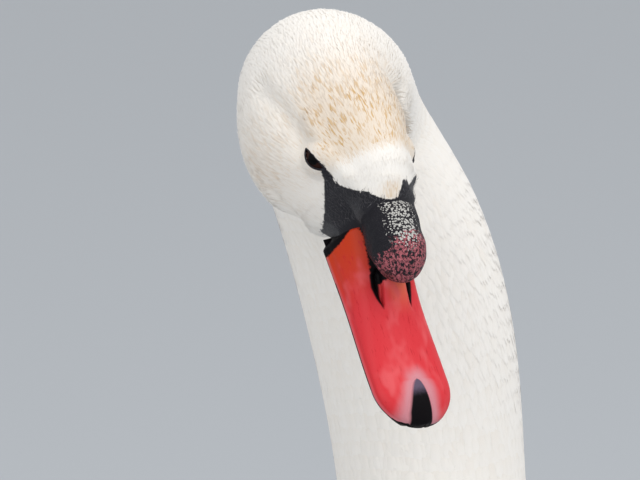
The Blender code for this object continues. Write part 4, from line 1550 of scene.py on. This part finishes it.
class SWAN_OT_bill(bpy.types.Operator):
    """Builds the upper bill with its nail and nostrils, and the lower bill with its combs"""

    bl_idname = "swan.bill"
    bl_label = "Bill"

    def execute(self, context):
        """The upper bill is bill_roof over a grid, closed by a hollow palate. The lower one is a trough."""
        swing = np.radians(np.linspace(0, 89.0, 60)[1:])
        straight = np.linspace(-BILL_LENGTH - 2.0, -NAIL_END_RADIUS, 190)
        x = np.concatenate([straight, -NAIL_END_RADIUS * (1 - np.sin(swing))])
        turn = np.linspace(0.0, 180.0, 121)
        at, round_turn = np.meshgrid(x, turn, indexing="ij")
        roof = bill_roof(at, round_turn)
        half = bill_half_width(at) - 1.1
        across = np.cos(np.radians(round_turn))
        palate = np.stack([at, half * across + SKEW * at, 1.2 + 2.2 * (1.0 - across**2)], -1)
        block = np.concatenate([roof, palate[:, 1:-1][:, ::-1]], axis=1)
        local = with_middles(block)
        mesh = build_mesh("bill_upper_horn", from_head(local), tube_faces(*block.shape[:2]))
        face_outwards(mesh)
        self.store(mesh, local)
        show("bill_upper_horn", mesh, bill_material(), ("bill_upper", "bill_nail"))
        self.lower_bill(context)
        return {"FINISHED"}

    def store(self, mesh, local):
        """Stores the distances to the bill's borders."""
        x, y, z = local.T
        centred = y - SKEW * x
        lip = 1.7 * np.exp(-(((np.abs(y + 2.0) - 4.5) / 4.0) ** 2)) * smoothstep(x, -9.0, -4.0)
        set_marks(
            mesh,
            local,
            base=base_distance(x, centred),
            nail=nail_distance(x, centred),
            nostril=nostril_distance(x, centred),
            rim=np.where(z > 0.6, z - 0.2 - lip, 0.0),
        )

    def lower_bill(self, context):
        """The lower bill: a shallow trough whose edge carries a row of small upright combs."""
        swing = np.radians(np.linspace(2, 88, 24))
        x = np.concatenate([np.linspace(-BILL_LENGTH - 2.0, -22.0, 70), -22.0 + 18.4 * np.sin(swing)])
        turn = np.arange(72) * 5.0
        at, round_turn = np.meshgrid(x, turn, indexing="ij")
        rise = np.sin(np.radians(round_turn))
        half = bill_half_width(np.minimum(at - 0.5, 0.0)) - 2.6 - 4.0 * smoothstep(-at, 82.0, 89.0)
        comb = 0.35 * (np.sin(at * 4.4) > 0) * np.exp(-((rise / 0.25) ** 2)) * (at < -20)
        y = (half + comb) * np.cos(np.radians(round_turn)) + SKEW * at
        z = np.where(rise > 0, 1.0 * rise, profile(CHIN, at) * rise) - 1.9
        local = with_middles(np.stack([at, y, z], -1))
        mesh = build_mesh("bill_lower_horn", from_head(local), tube_faces(*at.shape))
        face_outwards(mesh)
        horn = horn_material("lower_horn", context.scene.swan_colours.black, 0.4)
        show("bill_lower_horn", mesh, horn, ("bill_lower",))


# The knob's marks: humps with a centre and radii in the head's frame, and a strength
KNOB_MARKS = {
    "dotted": (
        ((-80, -3.6, 42), (9.5, 5.2, 5.5), 1.5),
        ((-72, -4.5, 41), (6, 5.6, 5.5), 1.5),
        ((-88, -1.5, 38), (5, 6, 8), 1.8),
    ),
    "worn": (
        ((-66, -1.0, 41), (6.0, 8.0, 5.5), 1.0),
        ((-58, 0.5, 33), (6.5, 6.5, 9.0), 1.0),
        ((-62, -10.0, 31), (7.5, 5.0, 7.5), 1.0),
        ((-57, -5, 25), (5, 7, 5), 0.8),
    ),
    "brown": (((-60.5, -8.0, 27.5), (5.5, 5.0, 5.5), 1.0),),
    "spot": (((-56.6, -1.6, 27.2), (2.2, 2.0, 2.2), 1.0),),
}


def set_marks(mesh, local, **marks):
    """Stores the head frame's coordinates and these marks of a piece of the bill."""
    x, y, z = local.T
    set_values(mesh, head_x=x, head_y=y, head_z=z, **marks)


class SWAN_OT_knob(bpy.types.Operator):
    """Builds the fleshy knob over the base of the bill, with dots, wrinkles and worn spots"""

    bl_idname = "swan.knob"
    bl_label = "Knob"

    def execute(self, context):
        """A tunnel with a round front end. Its radii swell by low bumps, sums of sines of its angles.

        Forwards it leans to the bird's right, and its rear top is drawn down to the forehead.
        """
        length, half, height = KNOB_RADII
        swing = np.radians(np.linspace(0.0, 89.5, 70))
        straight = np.linspace(-BILL_LENGTH - 5.0, KNOB[0], 50, endpoint=False)
        x = np.concatenate([straight, KNOB[0] + (length + 1.8) * np.sin(swing)])
        shrink = np.concatenate([np.ones(len(straight)), np.cos(swing)])
        turn = np.arange(140) * 360.0 / 140
        at, ring = np.meshgrid(x, np.radians(turn), indexing="ij")
        swell = 0.012 * np.sin(ring * 3 + at * 0.4) + 0.008 * np.sin(ring * 7 - at * 0.7)
        size = shrink[:, None] * (1.0 + swell)
        y = (half + 0.5) * size * np.cos(ring) - 2.6 * smoothstep(at, -92.0, -74.0) - 0.4
        z = KNOB[2] + height * size * np.sin(ring) + 0.4 * np.exp(-(((at + 66.0) / 8.0) ** 2))
        z -= 4.0 * smoothstep(-at, 79.0, 90.0) * np.maximum(np.sin(ring), 0.0)
        local = with_middles(np.stack([at, y, z], -1))
        mesh = build_mesh("knob", from_head(local), tube_faces(*at.shape))
        face_outwards(mesh)
        marks = {
            name: np.clip(sum(strength * bump(local, *place) for *place, strength in places), 0, 1)
            for name, places in KNOB_MARKS.items()
        }
        set_marks(mesh, local, **marks)
        show("knob", mesh, knob_material(), ("bill_knob",))
        return {"FINISHED"}


class SWAN_OT_eyes(bpy.types.Operator):
    """Builds the two eyeballs and the dark rims of their lids"""

    bl_idname = "swan.eyes"
    bl_label = "Eyes"

    def execute(self, context):
        """Each eye is a ball, and a dark rim on the edge of its lids."""
        rim_skin = horn_material("lid_rim", context.scene.swan_colours.bare, 0.42, 1500.0)
        for name, side in (("left", 1), ("right", -1)):
            self.eyeball(name, side)
            self.rim(name, side, rim_skin)
        return {"FINISHED"}

    def eyeball(self, name, side):
        """A sphere with a low bulge in front: radius + rise * exp(-(angle from the axis / 0.62)^4)."""
        ball, _, long_axis, up_axis, out = eye_frame(side)
        tilt, turn = np.meshgrid(np.linspace(1.0, 179.0, 60), np.arange(80) * 4.5, indexing="ij")
        tilt, turn = np.radians(tilt), np.radians(turn)
        radius = BALL_RADIUS + CORNEA_RISE * np.exp(-((tilt / 0.62) ** 4))
        flat = radius * np.sin(tilt)
        parts = (radius * np.cos(tilt), flat * np.cos(turn), flat * np.sin(turn))
        local = sum(part[..., None] * axis for part, axis in zip(parts, (out, long_axis, up_axis)))
        ends = np.stack([out * (BALL_RADIUS + CORNEA_RISE), -out * BALL_RADIUS])
        local = np.concatenate([local.reshape(-1, 3), ends]) + ball
        mesh = build_mesh("eyeball_" + name, from_head(local), tube_faces(*tilt.shape))
        face_outwards(mesh)
        set_values(mesh, ring=np.concatenate([np.degrees(tilt).ravel() / 60.0, [0.0, 3.0]]))
        show("eyeball_" + name, mesh, eye_material(), ("eye_" + name,))

    def rim(self, name, side, skin):
        """A thin tube round the opening, thickest at its front corner, on the lids' sphere.

        Its line is across = half length * cos t and up = reach * sin t * |sin t| to the power 0.7.
        """
        ball, middle, long_axis, up_axis, out = eye_frame(side)
        count, corners = 160, 10
        t = np.radians(np.arange(count) * 360.0 / count)
        reach = np.where(np.sin(t) > 0, LID_UP, LID_DOWN)
        across = (EYE_HALF_LENGTH + 0.2) * np.cos(t)
        rise = reach * np.sin(t) * np.abs(np.sin(t)) ** 0.7
        flat = middle + across[:, None] * long_axis + rise[:, None] * up_axis - ball
        flat = flat - (flat @ out)[:, None] * out
        sphere = BALL_RADIUS + LID_THICKNESS - 0.1
        height = np.sqrt(np.maximum(sphere**2 - (flat**2).sum(1), 0.0))
        line = ball + flat + height[:, None] * out
        thick = np.where(np.sin(t) > 0, 0.32, 0.40) + 0.3 * np.clip(np.cos(t), 0, 1) ** 3
        normal = unit(line - ball)
        beside = np.cross(unit(np.roll(line, -1, 0) - np.roll(line, 1, 0)), normal)
        tube = tube_round(line, thick, beside[:, None], normal[:, None], corners)
        faces = grid_faces(count + 1, corners, closed_round=True) % (count * corners)
        mesh = build_mesh("lid_rim_" + name, from_head(tube.reshape(-1, 3)), [faces])
        face_outwards(mesh)
        show("lid_rim_" + name, mesh, skin)


class SWAN_OT_bristles(bpy.types.Operator):
    """Scatters fine short bristles over the bare skin between the eyes and the bill"""

    bl_idname = "swan.bristles"
    bl_label = "Bristles"

    def execute(self, context):
        """Bristles are scattered over the bare skin, and lie at random angles round its slope."""
        draws = np.random.default_rng(context.scene.swan_coat.seed + 3)
        along, angles = scatter(2600, SWAN.at("eye"), SWAN.at("bill base"), np.ones_like)
        plain = coat_surface(along, angles, coat_depth(along))
        pick = (bare_distance(plain) > 0.3) & eyes_clear(plain, 1.3)
        along, angles = along[pick], angles[pick]
        root, normal, lie = on_surface(coat_surface, along, angles, coat_depth(along))
        length = draws.uniform(1.2, 3.2, len(root))
        lie = turned(lie, normal, draws.normal(0.0, 35.0, len(root)))
        places = (root, normal, lie, body_uv(along, angles))
        sizes = (length, np.full(len(root), 0.07), np.full(len(root), BRISTLE_THICKNESS))
        lift = draws.uniform(0.15, 0.6, len(root))
        mesh = small_vanes("bristles", places, sizes, lift, 0.25, draws, ring=BRISTLE, rows=4)
        show("bristles", mesh, horn_material("bristle_grey", BRISTLE_GREY, 0.6))
        return {"FINISHED"}


# Wings, tail, legs and feet

# broad_vanes takes places on a wing or the tail as shares times these
SHARE = 1000.0
ACROSS = 100.0
WING_REACH = 590.0  # length of a folded wing along its bed
COVERTS = 900
COVERT_SINK = -2.4
QUILL_SINK = -3.0
# Tiers of long feathers: number, shares of their roots at the wing's top and low edge, length, half
# width, lowest and highest place across, and lift
QUILL_TIERS = (
    (17, 0.40, 0.50, 190.0, 21.0, 0.06, 0.92, 4.5),
    (11, 0.66, 0.70, 168.0, 15.0, 0.10, 0.90, 2.0),
)


class SWAN_OT_wings(bpy.types.Operator):
    """Lays the folded wings' small coverts, scapulars, long inner feathers and wing tips"""

    bl_idname = "swan.wings"
    bl_label = "Wings"

    def execute(self, context):
        """Both wings use the same draws, so one mirrors the other."""
        for name, side in (("left", 1), ("right", -1)):
            draws = np.random.default_rng(context.scene.swan_coat.seed + 4)
            self.coverts(name, side, draws)
            self.quills(name, side, draws)
        return {"FINISHED"}

    def coverts(self, name, side, draws):
        """Covert i of n has across = i * golden ratio and a share that packs them closer in front."""
        number = np.arange(COVERTS)
        share = 0.012 + 0.60 * ((number + 0.5) / COVERTS) ** 1.55
        across = 0.02 + 0.92 * (number * GOLDEN % 1.0)
        grow = smoothstep(share, 0.0, 0.5)
        length = (22.0 + 62.0 * grow) * draws.uniform(0.9, 1.1, COVERTS)
        half = (7.5 + 11.5 * grow) * draws.uniform(0.9, 1.1, COVERTS)
        lift = 4.2 + 4.6 * grow
        name = "wing_coverts_" + name
        self.lay(name, side, share, across, length, half, lift, COVERT_SINK, draws, rows=7)

    def quills(self, name, side, draws):
        """Long feathers in two tiers: inner flight feathers over the back, then the wing tip's."""
        tiers = []
        for count, front, rear, reach, wide, low, high, raised in QUILL_TIERS:
            place = np.linspace(0.0, 1.0, count)
            share = rear + (front - rear) * place
            across = low + (high - low) * place
            length = np.full(count, reach) * (0.84 + 0.16 * np.sin(np.pi * (0.2 + 0.6 * place)))
            tiers.append((share, across, length, np.full(count, wide), np.full(count, raised)))
        values = (np.concatenate(parts) for parts in zip(*tiers))
        self.lay("wing_quills_" + name, side, *values, QUILL_SINK, draws, rows=26)

    def lay(self, name, side, share, across, length, half, lift, sink, draws, rows):
        """Lays feathers over one wing, with their roots sunk under its surface."""

        def surface(back, turn, height):
            """The wing's surface for broad_vanes, moved by sink."""
            return wing_surface(side, -back / SHARE, np.clip(turn / ACROSS, 0.0, 1.0), height + sink)

        reach = length / WING_REACH * SHARE
        places = (-share * SHARE, across * ACROSS, reach, half)
        mesh = broad_vanes(name, surface, *places, draws, lift, map_place(share, across), rows=rows)
        show_feathers(name, mesh)


class SWAN_OT_tail(bpy.types.Operator):
    """Fans the tail's feathers over each other, with coverts above and below their roots"""

    bl_idname = "swan.tail"
    bl_label = "Tail"

    def execute(self, context):
        """On each side 20 long feathers fan out, under 90 coverts scattered over their roots."""
        draws = np.random.default_rng(context.scene.swan_coat.seed + 5)
        for name, upper in (("over", True), ("under", False)):

            def surface(back, turn, height, upper=upper):
                """One side of the tail for broad_vanes."""
                return tail_surface(-back / SHARE, np.clip(turn / ACROSS, -1.0, 1.0), height, upper)

            quills, coverts = 20, 90
            place = np.linspace(-1.0, 1.0, quills)
            share = np.concatenate([np.full(quills, 0.02), draws.uniform(-0.25, 0.34, coverts)])
            across = np.concatenate([place * 0.86, draws.uniform(-0.95, 0.95, coverts)])
            reach = np.concatenate([0.97 - 0.16 * place**2, draws.uniform(0.34, 0.46, coverts)])
            half = np.repeat([9.5, 9.0], [quills, coverts])
            lift = np.repeat([0.3, 3.0], [quills, coverts])
            uv = np.stack([np.clip(share, 0, 1) * 0.9 + 0.05, across * 0.45 + 0.5], 1)
            places = (-share * SHARE, across * ACROSS, reach * SHARE, half)
            mesh = broad_vanes("tail_" + name, surface, *places, draws, lift, uv, rows=14)
            show_feathers("tail_" + name, mesh)
        return {"FINISHED"}


class SWAN_OT_feet(bpy.types.Operator):
    """Gives the legs and webbed feet their scaly skin, and adds the claws"""

    bl_idname = "swan.feet"
    bl_label = "Legs and feet"

    def execute(self, context):
        """A claw is a cone from each toe's end: its radius goes as (1 - u)^0.7, and it dips as u squared."""
        tones = context.scene.swan_colours
        skin = horn_material("leg_skin", tones.leg, 0.55, 420.0)
        for node in ("leg_left", "leg_right", "foot_left", "foot_right"):
            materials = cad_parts[node].data.materials
            materials.clear()
            materials.append(skin)
        horn = horn_material("claw_horn", tones.black, 0.35, 900.0)
        rows, corners = 10, 12
        u = np.linspace(0.0, 1.0, rows)
        above = np.array([0.0, 0.0, 1.0])
        for name, side in (("left", 1), ("right", -1)):
            points, quads, caps = [], [], []
            for number, (angle, length) in enumerate(TOES):
                angle = math.radians(angle)
                direction = np.array([side * math.sin(angle), -math.cos(angle), 0.0])
                start = np.array([side * FOOT_ROOT[0], FOOT_ROOT[1], 0.0]) + direction * (length - 3.0)
                middle = start + direction * (12.0 * u)[:, None]
                middle[:, 2] = 3.6 - 1.9 * u**2
                thick = 2.6 * (1.0 - u) ** 0.7 + 0.15
                beside = np.cross(direction, above)
                block = tube_round(middle, thick, beside, above, corners)
                points += [flat_on_floor(block.reshape(-1, 3), VANE_FLOOR), middle[[0, -1]]]
                sides, ends = tube_faces(rows, corners)
                before = number * (rows * corners + 2)
                quads.append(sides + before)
                caps.append(ends + before)
            faces = [np.concatenate(quads), np.concatenate(caps)]
            mesh = build_mesh("claws_" + name, np.concatenate(points), faces)
            face_outwards(mesh)
            show("claws_" + name, mesh, horn)
        return {"FINISHED"}


# Stage

FLOOR_HALF = 3e4
SKY_TONE = (0.98, 0.985, 1.0, 1.0)
AIM = (0.0, -0.2, 0.5)  # where the lights point, in metres


class SWAN_OT_stage(bpy.types.Operator):
    """Sets a plain pale floor, soft lights and the camera"""

    bl_idname = "swan.stage"
    bl_label = "Stage"

    def execute(self, context):
        """A floor, a top light and a side light, an even sky and a camera with a long lens."""
        stage = context.scene.swan_stage
        tones = context.scene.swan_colours
        corners = FLOOR_HALF * np.array([(-1, -1, 0), (1, -1, 0), (1, 1, 0), (-1, 1, 0)], float)
        mesh = build_mesh("floor", corners, [np.array([[0, 1, 2, 3]])])
        floor = bpy.data.objects.new("floor", mesh)
        context.scene.collection.objects.link(floor)
        pale = new_material("floor_pale", **{"Base Color": paint(tones.floor), "Roughness": 0.9})[0]
        mesh.materials.append(pale)
        floor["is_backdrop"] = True
        self.light(context, "key", stage.key, 2.6, (1.0, -1.3, 2.9))
        self.light(context, "fill", stage.fill, 2.4, (-2.2, -2.4, 1.9))
        world = bpy.data.worlds.new("studio")
        world.use_nodes = True
        background = world.node_tree.nodes["Background"].inputs
        background["Color"].default_value = SKY_TONE
        background["Strength"].default_value = stage.sky
        context.scene.world = world
        context.scene.view_settings.view_transform = "Standard"
        self.camera(context, stage)
        return {"FINISHED"}

    def light(self, context, name, power, size, place):
        """A round area light of this size in metres, pointed at the swan."""
        data = bpy.data.lights.new(name, "AREA")
        data.energy = power
        data.shape = "DISK"
        data.size = size
        lamp = bpy.data.objects.new(name, data)
        context.scene.collection.objects.link(lamp)
        lamp.location = place
        lamp.rotation_euler = (Vector(AIM) - Vector(place)).to_track_quat("-Z", "Y").to_euler()

    def camera(self, context, stage):
        """Looks back along the direction of azimuth and elevation, with the bill's tip off centre."""
        a, e = stage.azimuth, stage.elevation
        right = Vector((math.cos(a), math.sin(a), 0.0))
        up = Vector((-math.sin(a) * math.sin(e), math.cos(a) * math.sin(e), math.cos(e)))
        back = Vector((math.sin(a) * math.cos(e), -math.cos(a) * math.cos(e), math.sin(e)))
        data = bpy.data.cameras.new("camera")
        data.lens = stage.lens
        data.sensor_width = 36.0
        data.clip_start, data.clip_end = 0.05, 100.0
        camera = bpy.data.objects.new("camera", data)
        context.scene.collection.objects.link(camera)
        tip = Vector(BILL_TIP) * MM
        camera.location = tip - right * stage.aim_right + up * stage.aim_down + back * stage.distance
        camera.rotation_euler = Matrix((right, up, back)).transposed().to_euler()
        context.scene.camera = camera


class SWAN_PT_panel(bpy.types.Panel):
    """Lists the swan's pieces and settings in the sidebar"""

    bl_idname = "SWAN_PT_panel"
    bl_label = "Mute swan"
    bl_space_type = "VIEW_3D"
    bl_region_type = "UI"
    bl_category = "Swan"

    def draw(self, context):
        """One box of settings for each group, then the operators."""
        for name, group in SETTINGS:
            box = self.layout.box()
            for key in group.__annotations__:
                box.prop(getattr(context.scene, name), key)
        for operator in OPERATORS:
            self.layout.operator(operator.bl_idname)


OPERATORS = (
    SWAN_OT_skin,
    SWAN_OT_head_coat,
    SWAN_OT_neck_coat,
    SWAN_OT_body_coat,
    SWAN_OT_wings,
    SWAN_OT_tail,
    SWAN_OT_bill,
    SWAN_OT_knob,
    SWAN_OT_eyes,
    SWAN_OT_bristles,
    SWAN_OT_feet,
    SWAN_OT_stage,
)


def register():
    """Adds the settings, the operators and the panel."""
    for name, group in SETTINGS:
        bpy.utils.register_class(group)
        setattr(bpy.types.Scene, name, bpy.props.PointerProperty(type=group))
    for made in (*OPERATORS, SWAN_PT_panel):
        bpy.utils.register_class(made)


def unregister():
    """Takes them away again, in the opposite order."""
    for made in (SWAN_PT_panel, *reversed(OPERATORS)):
        bpy.utils.unregister_class(made)
    for name, group in reversed(SETTINGS):
        delattr(bpy.types.Scene, name)
        bpy.utils.unregister_class(group)


def main():
    """Builds every piece and the stage."""
    register()
    for operator in OPERATORS:
        group, name = operator.bl_idname.split(".")
        getattr(getattr(bpy.ops, group), name)()
    boxes = {"cad": CAD_BOX, "visual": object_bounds()}
    {key: [list(corner) for corner in box] for key, box in boxes.items()}


if __name__ == "__main__":
    main()
